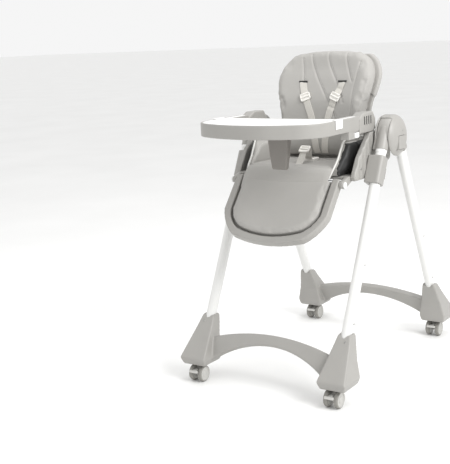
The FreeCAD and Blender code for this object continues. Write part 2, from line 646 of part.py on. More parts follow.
def seat_pan():
    """Slotted pan between the side panels, with ears that carry the footrest."""
    pan = prism("seat_pan", "XY_Plane", [
        ("-rail_inner_x", "pan_front"), ("rail_inner_x", "pan_front"), ("rail_inner_x", "pan_rear"),
        ("-rail_inner_x", "pan_rear")], "pan_top_z - pan_thick", "pan_top_z", at=(0, "pivot_y", 0))
    sketch = new_sketch(pan, "seat_pan_slot", "XY_Plane", "pan_top_z")
    first = "-(slot_count - 1) / 2 * slot_pitch"
    outline = []
    for row_y in ("-140", "-60"):
        outline.append([(f"{first} - 5", row_y), (f"{first} + 5", row_y), (f"{first} + 5", f"{row_y} + 50"),
                        (f"{first} - 5", f"{row_y} + 50")])
    for index, loop in enumerate(outline):
        draw(sketch, loop, index * 4)
    doc.recompute()
    before = pan.Shape.Volume
    slot = pan.newObject("PartDesign::Pocket", "seat_pan_slots")
    slot.Profile = sketch
    slot.setExpression("Length", bind("pan_thick + 1"))
    pan.Tip = slot
    doc.recompute()
    across = pan.newObject("PartDesign::LinearPattern", "seat_pan_across")
    across.Originals = [slot]
    across.Direction = (sketch, ["H_Axis"])
    across.setExpression("Length", bind("(slot_count - 1) * slot_pitch"))
    across.setExpression("Occurrences", bind("slot_count"))
    pan.Tip = across
    doc.recompute()
    if not pan.Shape.Volume < before - 1000:
        raise RuntimeError("the seat pan has no slots")
    pieces = [pan]
    for side, side_name in SIDES:
        name = f"footrest_ear_{side_name}"
        ear = prism(name, "YZ_Plane", [
            ("rest_axis_y - 12", "rest_axis_z - 6"), ("rest_axis_y + 8", "rest_axis_z - 14"),
            ("pan_front + 30", "pan_top_z - pan_thick - 6"), ("pan_front + 30", "pan_top_z"),
            ("pan_front", "pan_top_z"), ("rest_axis_y - 12", "rest_axis_z + 10")],
            *span(side, "rest_half + gap", "rail_inner_x"), at=(0, "pivot_y", 0))
        bore = cylinder(name + "_bore", "joint_pin + running_fit",
                        *span(side, "rest_half - 2", "rail_inner_x + 2"),
                        (0, on_pivot("rest_axis_y"), "rest_axis_z"), "x")
        pieces.append(cut(name + "_cut", ear, bore))
    node("seat_pan", fuse("seat_pan_whole", *pieces))
    caps = [cylinder(f"footrest_cap_{side_name}", "joint_pin + 4",
                     *span(side, "rail_inner_x", "rail_inner_x + 4"),
                     (0, on_pivot("rest_axis_y"), "rest_axis_z"), "x") for side, side_name in SIDES]
    node("footrest_caps", fuse("footrest_caps_whole", *caps))


def seat_cushion():
    """Plain closed solids for the padded seat and its two side wings."""
    pad = prism("seat_pad", "YZ_Plane", [
        ("cushion_front", "pan_top_z + gap"), ("pan_rear - 4", "pan_top_z + gap"),
        ("pan_rear - 4", "cushion_top_z"),
        ("cushion_front + 6", "cushion_top_z"), ("cushion_front", "cushion_top_z - 6")],
        "-cushion_half", "cushion_half", at=(0, "pivot_y", 0))
    node("seat_cushion", pad)
    for side, side_name in SIDES:
        wing = prism(f"wing_{side_name}", "YZ_Plane", [
            ("cushion_front + 4", "pan_top_z + gap"), ("recline_y - 34", "pan_top_z + gap"),
            ("recline_y - 34", "wing_top_z - 4"), ("-90", "wing_top_z + 4"),
            ("-150", "wing_top_z"), ("-175", "735"), ("cushion_front + 2", "690")],
            *span(side, "cushion_half + gap", "cushion_half + gap + wing_thick"), at=(0, "pivot_y", 0))
        node(f"cushion_wing_{side_name}", wing)


def back_front_view(inset):
    """The backrest's outline seen from the front."""
    wide = f"back_half - {inset}"
    return [
        ("back_waist", "cushion_base", "-3"), ("back_half - 16", "890", "2"), (wide, "965", "20"),
        ("110", "back_top_z - 8", "8"), ("-110", "back_top_z - 8", "20"), (f"-({wide})", "965", "2"),
        ("-(back_half - 16)", "890", "-3"), ("-back_waist", "cushion_base"),
    ]


def backrest():
    """Back shell with its recline lugs, and the plain solid of its cushion."""
    shell_view = [
        ("42", "cushion_base"), ("57", "865"), ("104", "1010"), ("108", "back_top_z - 20"),
        ("108 - back_shell", "back_top_z - 17"), ("104 - back_shell", "1013"),
        ("57 - back_shell", "867"), ("42 - back_shell", "cushion_base"),
    ]
    shell = prism("back_shell_side", "YZ_Plane", shell_view, "-back_half", "back_half", at=(0, "pivot_y", 0))
    mask = prism("back_shell_front", "XZ_Plane", back_front_view(0), "-200", "200")
    pieces = [common("back_shell_common", shell, mask)]
    recline = (0, on_pivot("recline_y"), "recline_z")
    outer_x = "rail_inner_x - gap"
    for side, side_name in SIDES:
        lug = prism(f"back_lug_{side_name}", "YZ_Plane", [
            ("recline_y - 12", "recline_z - 8"), ("recline_y + 4", "recline_z - 14"),
            ("recline_y + 14", "recline_z"),
            ("recline_y + 14", "recline_z + 20"), ("recline_y - 12", "recline_z + 20")],
            *span(side, "back_waist + 38", outer_x), at=(0, "pivot_y", 0))
        bridge = box(f"back_bridge_{side_name}", span(side, "back_waist - 8", outer_x), ("3", "14"),
                     ("-14", "20"),
                     recline)
        bore = cylinder(f"back_bore_{side_name}", "joint_pin + running_fit",
                        *span(side, "back_waist", "panel_outer_x"),
                        recline, "x")
        pieces.append(cut(f"back_lug_cut_{side_name}", fuse(f"back_lug_whole_{side_name}", lug, bridge),
                          bore))
    node("back_shell", fuse("back_shell_whole", *pieces))
    pad_view = [
        ("42 - back_shell - gap", "cushion_base"), ("57 - back_shell - gap", "867"),
        ("104 - back_shell - gap", "1013"), ("108 - back_shell - gap", "back_top_z"), ("74", "back_top_z"),
        ("20", "979"), ("-18", "890"), ("-24", "cushion_base + 40"), ("-14", "cushion_base"),
    ]
    pad = prism("back_pad_side", "YZ_Plane", pad_view, "-back_half", "back_half", at=(0, "pivot_y", 0))
    pad_mask = prism("back_pad_front", "XZ_Plane", back_front_view(2), "-200", "200")
    node("back_cushion", common("back_cushion_common", pad, pad_mask))


def webbing():
    """Shoulder straps over the back cushion, their adjusters, and the crotch strap with its buckle."""
    adjusters = []
    for side, side_name in SIDES:
        middle = sided(side, "strap_x")
        route = [("5", "955"), ("-18 - gap", "890"), ("-24 - gap", "cushion_base + 40"), ("-20 - gap", "720")]
        outer = [(f"{y} - strap_thick", z) for y, z in reversed(route)]
        strap = prism(f"strap_{side_name}", "YZ_Plane", [*route, *outer],
                      f"{middle} - strap_wide / 2", f"{middle} + strap_wide / 2", at=(0, "pivot_y", 0))
        node(f"shoulder_strap_{side_name}", strap)
        adjusters.append(box(f"adjuster_{side_name}", (f"{middle} - 18", f"{middle} + 18"),
                             ("-25 - strap_thick", "-19.3 - strap_thick"), ("870", "888"), (0, "pivot_y", 0)))
    node("strap_adjusters", fuse("strap_adjusters_whole", *adjusters))
    strap = box("crotch_webbing", ("-strap_wide / 2", "strap_wide / 2"), ("-168", "-70"),
                ("cushion_top_z + gap", "cushion_top_z + gap + strap_thick"), (0, "pivot_y", 0))
    node("crotch_strap", strap)
    buckle = box("buckle_block", ("-21", "21"), ("-92", "-52"),
                 ("cushion_top_z + gap + strap_thick", "cushion_top_z + gap + strap_thick + 12"),
                 (0, "pivot_y", 0))
    node("harness_buckle", rounded("buckle_round", buckle, 4))


def recline_handle():
    """Arched pull handle high on the back of the shell."""
    at = (0, on_pivot("96"), "985")
    arch = box("handle_block", ("-50", "50"), ("0.6", "13"), ("-6", "26"), at, "-18")
    grip_gap = box("handle_gap", ("-38", "38"), ("0", "14"), ("-7", "13"), at, "-18")
    node("recline_handle", cut("handle_cut", arch, grip_gap))


def armrest(side, side_name):
    """Armrest on its fold axis, with the tongue that carries the tray."""
    name = f"armrest_{side_name}"
    rear = "arm_pivot_y + arm_behind"
    block = prism(name + "_block", "YZ_Plane", [
        ("arm_front", "arm_under_z"), ("arm_pivot_y", "arm_under_z"), (rear, "arm_pivot_z - 14"),
        (rear, "arm_top_z - 24"), (f"{rear} - 18", "arm_top_z"), ("arm_front + 34", "arm_top_z"),
        ("arm_front", "arm_top_z - 16")],
        *span(side, "arm_inner_x", "arm_outer_x"), at=(0, "pivot_y", 0))
    slot = box(name + "_slot", span(side, "rail_inner_x - gap", "rail_inner_x + ear_thick + gap"),
               ("-14", "arm_behind + 1"), ("arm_under_z - arm_pivot_z - 1", "14"),
               (0, on_pivot("arm_pivot_y"), "arm_pivot_z"))
    pin = cylinder(name + "_pin", "joint_pin", *span(side, "arm_inner_x + 4", "arm_outer_x - 3"),
                   (0, on_pivot("arm_pivot_y"), "arm_pivot_z"), "x")
    tongue = box(name + "_tongue", span(side, "tongue_x", "tongue_x + tongue_thick"),
                 ("arm_front - tongue_reach", "arm_front + 5"), ("tongue_z", "tongue_z + tongue_tall"),
                 (0, "pivot_y", 0))
    node(name, fuse(name + "_whole", cut(name + "_cut", block, slot), pin, tongue))


def tray_outline(inset):
    """The tray seen from above: curved front, straight sides and two arms to the armrests."""
    half, inner = f"tray_half - {inset}", f"arm_inner_x + {inset}"
    end_y, rear_y = f"arm_front - gap - {inset}", f"tray_rear - {inset}"
    corner_x, corner_y = f"tray_corner_x - {inset} * 0.6", f"tray_corner_y + {inset} * 0.8"
    front = f"tray_corner_y - tray_front - {inset} * 0.2"
    return [
        (f"-({half})", end_y), (f"-({half})", "tray_side_y", "16"), (f"-({corner_x})", corner_y, front),
        (corner_x, corner_y, "16"), (half, "tray_side_y"), (half, end_y), (inner, end_y),
        (inner, rear_y, "-8"), (f"-({inner})", rear_y), (f"-({inner})", end_y),
    ]


def bowl_outline(inset):
    """The front bowl of the tray, without its arms."""
    half, rear_y = f"tray_half - {inset}", f"tray_rear - {inset}"
    corner_x, corner_y = f"tray_corner_x - {inset} * 0.6", f"tray_corner_y + {inset} * 0.8"
    front = f"tray_corner_y - tray_front - {inset} * 0.2"
    return [
        (f"-({half})", rear_y), (f"-({half})", "tray_side_y", "14"), (f"-({corner_x})", corner_y, front),
        (corner_x, corner_y, "14"), (half, "tray_side_y"), (half, rear_y),
    ]


def tray():
    """Tray base that slides on the armrest tongues, its lift-out insert, clips and release buttons."""
    base = prism("tray_shell", "XY_Plane", tray_outline("0"), "tray_top_z - tray_deep", "tray_top_z",
                 at=(0, "pivot_y", 0))
    pocket(base, "tray_ledge", "XY_Plane", tray_outline("insert_inset"), "insert_z", "tray_top_z + 1")
    pocket(base, "tray_hollow", "XY_Plane", bowl_outline("(bowl_inset - 1)"), "deck_z", "tray_top_z + 1")
    pieces, tools, buttons = [base], [], []
    for side, side_name in SIDES:
        bracket = box(f"tray_bracket_{side_name}", span(side, "arm_inner_x + 2", "arm_outer_x - 3"),
                      ("-224", "-158"),
                      ("788", "tray_top_z - tray_deep + 2"), (0, "pivot_y", 0))
        pieces.append(bracket)
        tools.append(box(f"tray_channel_{side_name}",
                         span(side, "tongue_x - gap", "tongue_x + tongue_thick + gap"),
                         ("arm_front - tongue_reach - gap", "arm_front + 5"),
                         ("tongue_z - gap", "tongue_z + tongue_tall + gap"), (0, "pivot_y", 0)))
        tools.append(box(f"tray_button_seat_{side_name}", span(side, "arm_outer_x - 16", "arm_outer_x + 1"),
                         ("-186 - gap", "-161 + gap"), ("791 - gap", "807 + gap"), (0, "pivot_y", 0)))
        button = box(f"tray_button_block_{side_name}", span(side, "arm_outer_x - 11", "arm_outer_x + 1"),
                     ("-186", "-161"), ("791", "807"), (0, "pivot_y", 0))
        node(f"tray_button_{side_name}", rounded(f"tray_button_round_{side_name}", button, 2))
    node("tray_base", cut("tray_base_cut", fuse("tray_base_whole", *pieces), *tools))
    post = prism("post_block", "YZ_Plane", [
        ("post_front", "tray_top_z - tray_deep - gap"), ("post_front + post_taper", "post_low_z + 5"),
        ("post_front + post_taper + 3", "post_low_z"), ("post_rear - post_taper - 3", "post_low_z"),
        ("post_rear - post_taper", "post_low_z + 5"), ("post_rear", "tray_top_z - tray_deep - gap")],
        "-post_half", "post_half", at=(0, "pivot_y", 0))
    node("crotch_post", post)
    inset = "(insert_inset + gap)"
    insert = prism("insert_plate", "XY_Plane", tray_outline(inset), "insert_z + gap", "tray_top_z",
                   at=(0, "pivot_y", 0))
    bowl = prism("insert_bowl", "XY_Plane", bowl_outline("bowl_inset"), "bowl_floor_z", "tray_top_z - 1",
                 at=(0, "pivot_y", 0))
    hollow = prism("insert_hollow", "XY_Plane", bowl_outline("(bowl_inset + insert_floor)"),
                   "bowl_floor_z + insert_floor", "tray_top_z + 1", at=(0, "pivot_y", 0))
    spot = ("cup_x", on_pivot("cup_y"), 0)
    cup = cylinder("insert_cup", "cup_radius + insert_floor", "cup_floor_z", "bowl_floor_z + 1", spot)
    cup_hollow = cylinder("insert_cup_hollow", "cup_radius", "cup_floor_z + insert_floor", "tray_top_z", spot)
    solid = fuse("insert_whole", insert, bowl, cup)
    node("tray_insert", cut("tray_insert_cut", solid, hollow, cup_hollow))
    for side, side_name in SIDES:
        flap = box(f"clip_flap_{side_name}", span(side, "tray_half + gap", "tray_half + 3"),
                   ("clip_front", "clip_front + clip_long"),
                   ("830", "tray_top_z + 2.4"), (0, "pivot_y", 0))
        lip = box(f"clip_lip_{side_name}", span(side, "tray_half - 16", "tray_half + 3"),
                  ("clip_front", "clip_front + clip_long"),
                  ("tray_top_z + gap", "tray_top_z + 2.4"), (0, "pivot_y", 0))
        node(f"tray_clip_{side_name}", fuse(f"clip_whole_{side_name}", flap, lip))


def rest_outline(inset, rear):
    """The footrest in its own plane, from its tilt axis to its rounded end."""
    half, corner = f"rest_half - {inset}", f"rest_corner - {inset} * 0.6"
    corner_y = f"-(rest_long - 20) + {inset} * 0.9"
    return [
        (f"-({half})", rear), (f"-({half})", "-rest_side", "9"), (f"-({corner})", corner_y, "20"),
        (corner, corner_y, "9"), (half, "-rest_side"), (half, rear),
    ]


def footrest():
    """U-shaped footrest frame with a floor, its pivot pins and the padded panel in it."""
    at = (0, on_pivot("rest_axis_y"), "rest_axis_z")
    frame = prism("rest_frame", "XY_Plane", rest_outline("0", "13"), "-rest_thick / 2", "rest_thick / 2",
                  at, "rest_angle")
    pocket(frame, "rest_hollow", "XY_Plane", rest_outline("rest_border", "30"), "-rest_thick / 2 + 9",
           "rest_thick / 2 + 1")
    pins = [cylinder(f"rest_pin_{side_name}", "joint_pin", *span(side, "rest_half - 6", "rail_inner_x - gap"),
                     (0, on_pivot("rest_axis_y"), "rest_axis_z"), "x") for side, side_name in SIDES]
    node("footrest_frame", fuse("rest_whole", frame, *pins))
    pad = prism("rest_pad", "XY_Plane", rest_outline("(rest_border + pad_gap)", "9"),
                "-rest_thick / 2 + 9 + gap",
                "rest_thick / 2 + 2", at, "rest_angle")
    node("footrest_pad", pad)


for side, side_name in SIDES:
    for end, end_name in ENDS:
        leg(side, side_name, end, end_name)
    hub_socket(side, side_name)
    hub_cover(side, side_name)
    side_panel(side, side_name)
    slider(side, side_name)
for end, end_name in ENDS:
    base_frame(end, end_name)
    for side, side_name in SIDES:
        castor(side, side_name, end, end_name)
seat_pan()
seat_cushion()
backrest()
webbing()
recline_handle()
for side, side_name in SIDES:
    armrest(side, side_name)
tray()
footrest()

doc.recompute()
os.makedirs("parts", exist_ok=True)
for piece in doc.Objects:
    if "Invalid" in piece.State or "Error" in piece.State:
        raise RuntimeError(f"{piece.Label} failed: {piece.State}")
for label, piece in nodes.items():
    shape = piece.Shape
    if shape.isNull() or not shape.isValid():
        raise RuntimeError(f"{label} has no valid shape")
    shape.exportStep(f"parts/{label}.step")
    print(label, len(shape.Solids), round(shape.Volume / 1000, 1))
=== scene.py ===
import json
import math

import bmesh
import bpy
import numpy as np
from mathutils import Matrix, Vector
from mathutils.bvhtree import BVHTree


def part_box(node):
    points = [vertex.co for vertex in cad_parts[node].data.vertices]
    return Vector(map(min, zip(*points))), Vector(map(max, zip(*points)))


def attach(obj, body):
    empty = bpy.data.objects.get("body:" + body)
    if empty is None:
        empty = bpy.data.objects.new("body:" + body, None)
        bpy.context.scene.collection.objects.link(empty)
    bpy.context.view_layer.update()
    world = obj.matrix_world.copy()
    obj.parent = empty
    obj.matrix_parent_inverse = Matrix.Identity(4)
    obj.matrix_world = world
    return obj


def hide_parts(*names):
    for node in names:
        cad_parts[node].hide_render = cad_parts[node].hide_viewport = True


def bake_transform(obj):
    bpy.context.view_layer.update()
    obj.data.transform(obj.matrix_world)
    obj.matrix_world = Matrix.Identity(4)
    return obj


bl_info = {
    "name": "Folding High Chair",
    "version": (1, 0, 0),
    "blender": (4, 5, 0),
    "location": "View3D > Sidebar > High Chair",
    "description": "Builds the finished surfaces of a folding baby high chair round its frame",
    "category": "Object",
}

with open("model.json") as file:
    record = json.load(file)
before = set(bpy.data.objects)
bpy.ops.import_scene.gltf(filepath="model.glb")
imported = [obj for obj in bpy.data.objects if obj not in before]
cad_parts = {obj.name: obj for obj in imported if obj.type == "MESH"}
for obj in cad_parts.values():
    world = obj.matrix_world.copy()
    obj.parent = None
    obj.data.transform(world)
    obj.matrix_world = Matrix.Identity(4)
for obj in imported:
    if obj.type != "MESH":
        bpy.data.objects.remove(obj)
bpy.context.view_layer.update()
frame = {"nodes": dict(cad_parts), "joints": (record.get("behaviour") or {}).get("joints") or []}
MM = 0.001
SIDES = ((1, "left"), (-1, "right"))
ENDS = ((-1, "front"), (1, "rear"))


# Sizes and places that the operators share

def spot(node):
    """Lowest corner, highest corner and middle of a frame node."""
    low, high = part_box(node)
    return low, high, (low + high) / 2


def joint(name):
    return [entry for entry in frame["joints"] if entry["name"] == name][0]


PIVOT = Vector(joint("leg_fold")["pos_m"])


# Properties a user would change

class ChairSizes(bpy.types.PropertyGroup):
    voxel: bpy.props.FloatProperty(
        name="Moulding detail", description="Grid that rounded mouldings are rebuilt on",
        default=0.0025, unit="LENGTH")
    edge_round: bpy.props.FloatProperty(
        name="Edge rounding", description="Rounding of crisp plastic edges", default=0.0016, unit="LENGTH")
    pad_voxel: bpy.props.FloatProperty(
        name="Padding detail", description="Grid that padded pieces are rebuilt on", default=0.005,
        unit="LENGTH")
    pad_swell: bpy.props.FloatProperty(
        name="Padding swell", description="Most that a pad's skin may move out", default=0.008, unit="LENGTH")
    seam_deep: bpy.props.FloatProperty(
        name="Seam depth", description="How far a quilted seam pulls in", default=0.0030, unit="LENGTH")
    stitch_step: bpy.props.FloatProperty(
        name="Stitch spacing", description="Between two stitches of a seam", default=0.0045, unit="LENGTH")
    strap_wide: bpy.props.FloatProperty(
        name="Webbing width", description="Width of the harness webbing", default=0.025, unit="LENGTH")


class ChairColours(bpy.types.PropertyGroup):
    plastic: bpy.props.StringProperty(name="Moulded plastic", description="sRGB hex", default="9B9995")
    plastic_dark: bpy.props.StringProperty(name="Dark plastic", description="sRGB hex", default="7F7B76")
    leather: bpy.props.StringProperty(name="PU leather", description="sRGB hex", default="A6A4A0")
    powder: bpy.props.StringProperty(name="Powder coat", description="sRGB hex", default="DEDEDC")
    gloss: bpy.props.StringProperty(name="Tray insert", description="sRGB hex", default="EDEDEC")
    webbing: bpy.props.StringProperty(name="Harness webbing", description="sRGB hex", default="D6D3CC")
    wheel: bpy.props.StringProperty(name="Castor disc", description="sRGB hex", default="B9B8B4")
    tyre: bpy.props.StringProperty(name="Castor tread", description="sRGB hex", default="86847F")
    # Black used as painted shade in holes, slots and gaps.
    inner: bpy.props.StringProperty(name="Painted shade", description="sRGB hex", default="1B1B1B")


def sizes():
    return bpy.context.scene.chair_sizes


def colours():
    return bpy.context.scene.chair_colours


# Materials

def linear(hexed):
    """An sRGB hex colour as linear RGBA."""
    channels = [int(hexed[i:i + 2], 16) / 255 for i in (0, 2, 4)]
    return [c / 12.92 if c <= 0.04045 else ((c + 0.055) / 1.055) ** 2.4 for c in channels] + [1]


def shade(hexed, factor):
    return [min(1, c * factor) for c in linear(hexed)[:3]] + [1]


def add(tree, kind, settings=None, links=None):
    """Add a node, set its fields and sockets by name, and link its inputs."""
    node = tree.nodes.new(kind)
    for name, worth in (settings or {}).items():
        if isinstance(name, str) and name not in node.inputs:
            setattr(node, name, worth)
        else:
            node.inputs[name].default_value = worth
    for name, source in (links or {}).items():
        tree.links.new(source, node.inputs[name])
    return node


def start_material(name, roughness, ior=1.5):
    material = bpy.data.materials.get(name)
    if material:
        return material, None, None, None
    material = bpy.data.materials.new(name)
    material.use_nodes = True
    tree = material.node_tree
    tree.nodes.clear()
    output = add(tree, "ShaderNodeOutputMaterial")
    surface = add(tree, "ShaderNodeBsdfPrincipled", {"Roughness": roughness, "IOR": ior})
    tree.links.new(surface.outputs[0], output.inputs[0])
    place = add(tree, "ShaderNodeTexCoord")
    return material, tree, surface, place.outputs["Object"]


def mottled(tree, place, low, high, scale, detail=3):
    """Slow colour variation between two colours, over a size given as a scale per metre."""
    noise = add(tree, "ShaderNodeTexNoise", {"Scale": scale, "Detail": detail}, {"Vector": place})
    ramp = add(tree, "ShaderNodeValToRGB", links={"Fac": noise.outputs[0]})
    ramp.color_ramp.elements[0].position = 0.3
    ramp.color_ramp.elements[1].position = 0.7
    ramp.color_ramp.elements[0].color = low
    ramp.color_ramp.elements[1].color = high
    return ramp.outputs[0]


def moulded_abs(name, hexed, roughness=0.42, grain=0.12):
    """Injection-moulded ABS: a fine spark-eroded texture gives a soft satin sheen, and a painted highlight
    lightens the convex edges.
    """
    material, tree, surface, place = start_material(name, roughness, 1.53)
    if tree is None:
        return material
    body = mottled(tree, place, shade(hexed, 0.965), shade(hexed, 1.03), 9)
    # Painted highlight: the colour is lightened towards convex edges, found from the mesh's pointiness.
    geometry = add(tree, "ShaderNodeNewGeometry")
    edge = add(tree, "ShaderNodeMapRange", {"From Min": 0.52, "From Max": 0.60, "To Max": 0.35},
               {"Value": geometry.outputs["Pointiness"]})
    painted_edge_highlight = add(tree, "ShaderNodeMix", {"data_type": "RGBA"})
    tree.links.new(edge.outputs[0], painted_edge_highlight.inputs["Factor"])
    tree.links.new(body, painted_edge_highlight.inputs["A"])
    painted_edge_highlight.inputs["B"].default_value = shade(hexed, 1.22)
    tree.links.new(painted_edge_highlight.outputs["Result"], surface.inputs["Base Color"])
    # Grain of a moulding tool is about 0.3 mm; drawn at 1.2 mm so that it shows.
    fine = add(tree, "ShaderNodeTexNoise", {"Scale": 850.0, "Detail": 2.0}, {"Vector": place})
    broad = add(tree, "ShaderNodeTexNoise", {"Scale": 30.0, "Detail": 3.0}, {"Vector": place})
    rough = add(tree, "ShaderNodeMapRange", {"To Min": roughness - 0.05, "To Max": roughness + 0.08},
                {"Value": broad.outputs[0]})
    tree.links.new(rough.outputs[0], surface.inputs["Roughness"])
    bump = add(tree, "ShaderNodeBump", {"Strength": grain, "Distance": 0.0004}, {"Height": fine.outputs[0]})
    tree.links.new(bump.outputs[0], surface.inputs["Normal"])
    return material


def powder_coat(name, hexed):
    """Powder-coated steel: thick white coat with a faint orange-peel ripple and a clear gloss."""
    material, tree, surface, place = start_material(name, 0.28, 1.5)
    if tree is None:
        return material
    tree.links.new(mottled(tree, place, shade(hexed, 0.985), shade(hexed, 1.0), 14),
                   surface.inputs["Base Color"])
    surface.inputs["Coat Weight"].default_value = 0.25
    surface.inputs["Coat Roughness"].default_value = 0.15
    peel = add(tree, "ShaderNodeTexNoise", {"Scale": 420.0, "Detail": 1.0}, {"Vector": place})
    bump = add(tree, "ShaderNodeBump", {"Strength": 0.05, "Distance": 0.0004}, {"Height": peel.outputs[0]})
    tree.links.new(bump.outputs[0], surface.inputs["Normal"])
    return material


def pu_leather(name, hexed):
    """PU leather over foam: pebble grain of about 1.5 mm with soft creases and a low sheen."""
    material, tree, surface, place = start_material(name, 0.5, 1.48)
    if tree is None:
        return material
    base = mottled(tree, place, shade(hexed, 0.95), shade(hexed, 1.03), 7)
    pebble = add(tree, "ShaderNodeTexVoronoi", {"Scale": 620.0}, {"Vector": place})
    crease = add(tree, "ShaderNodeTexNoise", {"Scale": 45.0, "Detail": 5.0, "Distortion": 0.6},
                 {"Vector": place})
    dark = add(tree, "ShaderNodeMapRange", {"From Min": 0.0, "From Max": 0.5, "To Min": 0.0, "To Max": 0.14},
               {"Value": pebble.outputs["Distance"]})
    tint = add(tree, "ShaderNodeMix", {"data_type": "RGBA"})
    tree.links.new(dark.outputs[0], tint.inputs["Factor"])
    tree.links.new(base, tint.inputs["A"])
    tint.inputs["B"].default_value = shade(hexed, 0.72)
    tree.links.new(tint.outputs["Result"], surface.inputs["Base Color"])
    rough = add(tree, "ShaderNodeMapRange", {"To Min": 0.44, "To Max": 0.58}, {"Value": crease.outputs[0]})
    tree.links.new(rough.outputs[0], surface.inputs["Roughness"])
    surface.inputs["Sheen Weight"].default_value = 0.12
    folds = add(tree, "ShaderNodeBump", {"Strength": 0.18, "Distance": 0.002}, {"Height": crease.outputs[0]})
    bump = add(tree, "ShaderNodeBump", {"Strength": 0.22, "Distance": 0.0005},
               {"Height": pebble.outputs["Distance"], "Normal": folds.outputs[0]})
    tree.links.new(bump.outputs[0], surface.inputs["Normal"])
    return material


def gloss_plastic(name, hexed, roughness=0.16):
    """Polished polypropylene: even white with a clean highlight and faint handling haze."""
    material, tree, surface, place = start_material(name, roughness, 1.49)
    if tree is None:
        return material
    tree.links.new(mottled(tree, place, shade(hexed, 0.98), shade(hexed, 1.0), 12),
                   surface.inputs["Base Color"])
    haze = add(tree, "ShaderNodeTexNoise", {"Scale": 22.0, "Detail": 4.0}, {"Vector": place})
    rough = add(tree, "ShaderNodeMapRange", {"To Min": roughness - 0.04, "To Max": roughness + 0.1},
                {"Value": haze.outputs[0]})
    tree.links.new(rough.outputs[0], surface.inputs["Roughness"])
    return material


def woven_webbing(name, hexed):
    """Woven polyester webbing: rows of slanted yarns about 1.6 mm apart, read from the strap's own UV."""
    material, tree, surface, _ = start_material(name, 0.75, 1.45)
    if tree is None:
        return material
    flat = add(tree, "ShaderNodeUVMap", {"uv_map": "weave"})
    # One UV unit is a metre; the wave runs across the yarns.
    turned = add(tree, "ShaderNodeMapping", {"Rotation": (0, 0, 0.5)}, {"Vector": flat.outputs[0]})
    yarn = add(tree, "ShaderNodeTexWave", {"Scale": 195.0, "Distortion": 0.4}, {"Vector": turned.outputs[0]})
    cross = add(tree, "ShaderNodeTexWave", {"bands_direction": "Y", "Scale": 150.0},
                {"Vector": flat.outputs[0]})
    both = add(tree, "ShaderNodeMath", {"operation": "MULTIPLY"})
    tree.links.new(yarn.outputs["Fac"], both.inputs[0])
    tree.links.new(cross.outputs["Fac"], both.inputs[1])
    ramp = add(tree, "ShaderNodeValToRGB", links={"Fac": both.outputs[0]})
    ramp.color_ramp.elements[0].color = shade(hexed, 0.74)
    ramp.color_ramp.elements[1].color = shade(hexed, 1.12)
    tree.links.new(ramp.outputs[0], surface.inputs["Base Color"])
    surface.inputs["Sheen Weight"].default_value = 0.3
    bump = add(tree, "ShaderNodeBump", {"Strength": 0.5, "Distance": 0.0006}, {"Height": both.outputs[0]})
    tree.links.new(bump.outputs[0], surface.inputs["Normal"])
    return material


def brushed_steel(name):
    """Zinc-plated screw steel: a neutral metal colour with a fine mottle."""
    material, tree, surface, place = start_material(name, 0.32)
    if tree is None:
        return material
    surface.inputs["Metallic"].default_value = 1.0
    tree.links.new(mottled(tree, place, shade("A9A9A6", 0.9), shade("A9A9A6", 1.05), 300),
                   surface.inputs["Base Color"])
    return material


def plastic():
    return moulded_abs("moulded_abs_warm_grey", colours().plastic)


def dark_plastic():
    return moulded_abs("moulded_abs_dark_grey", colours().plastic_dark, 0.5)


# Black material that stands for shade: painted shade in slots, vents, notches and the gap beside the seat
# padding.
def painted_shade_plastic():
    return moulded_abs("painted_shade_black", colours().inner, 0.55)


def leather():
    return pu_leather("pu_leather_light_grey", colours().leather)


def white_gloss():
    return gloss_plastic("gloss_polypropylene_white", colours().gloss)


def webbing():
    return woven_webbing("woven_polyester_webbing", colours().webbing)


# Meshes

def make_object(name, verts, faces, material, smooth=True):
    mesh = bpy.data.meshes.new(name)
    mesh.from_pydata([tuple(v) for v in verts], [], faces)
    mesh.update()
    obj = bpy.data.objects.new(name, mesh)
    bpy.context.scene.collection.objects.link(obj)
    mesh.materials.append(material)
    for face in mesh.polygons:
        face.use_smooth = smooth
    return obj


def node_copy(node, name, material):
    """A merged copy of a frame node's mesh."""
    mesh = frame["nodes"][node].data.copy()
    mesh.name = name
    obj = bpy.data.objects.new(name, mesh)
    bpy.context.scene.collection.objects.link(obj)
    work = bmesh.new()
    work.from_mesh(mesh)
    bmesh.ops.remove_doubles(work, verts=work.verts, dist=1e-5)
    bmesh.ops.dissolve_limit(work, angle_limit=math.radians(1), verts=work.verts, edges=work.edges)
    work.to_mesh(mesh)
    work.free()
    mesh.materials.clear()
    mesh.materials.append(material)
    return obj


def settle(obj):
    """Apply an object's modifiers into a plain mesh."""
    graph = bpy.context.evaluated_depsgraph_get()
    mesh = bpy.data.meshes.new_from_object(obj.evaluated_get(graph))
    old = obj.data
    obj.modifiers.clear()
    obj.data = mesh
    bpy.data.meshes.remove(old)
    return obj


def smooth_shade(obj, angle=35):
    for face in obj.data.polygons:
        face.use_smooth = True
    obj.data.set_sharp_from_angle(angle=math.radians(angle))
    return obj


def crisp(node, name, material, width=None, segments=3):
    """A frame node with its hard edges rounded over."""
    obj = node_copy(node, name, material)
    bevel = obj.modifiers.new("round", "BEVEL")
    bevel.width = sizes().edge_round if width is None else width
    bevel.segments = segments
    bevel.limit_method = "ANGLE"
    bevel.angle_limit = math.radians(32)
    bevel.harden_normals = False
    settle(obj)
    return smooth_shade(obj, 38)


def remesh(obj, voxel):
    step = obj.modifiers.new("remesh", "REMESH")
    step.mode = "VOXEL"
    step.voxel_size = voxel
    step.use_smooth_shade = True
    return settle(obj)


def relax(obj, rounds, factor=0.5):
    step = obj.modifiers.new("relax", "SMOOTH")
    step.iterations = rounds
    step.factor = factor
    return settle(obj)


def moulded(node, name, material, voxel=None, rounds=8):
    """A frame node rebuilt on a fine grid and relaxed, so edges and inner corners blend as in a moulding."""
    obj = remesh(node_copy(node, name, material), voxel or sizes().voxel)
    relax(obj, rounds)
    obj.data.materials.clear()
    obj.data.materials.append(material)
    return obj


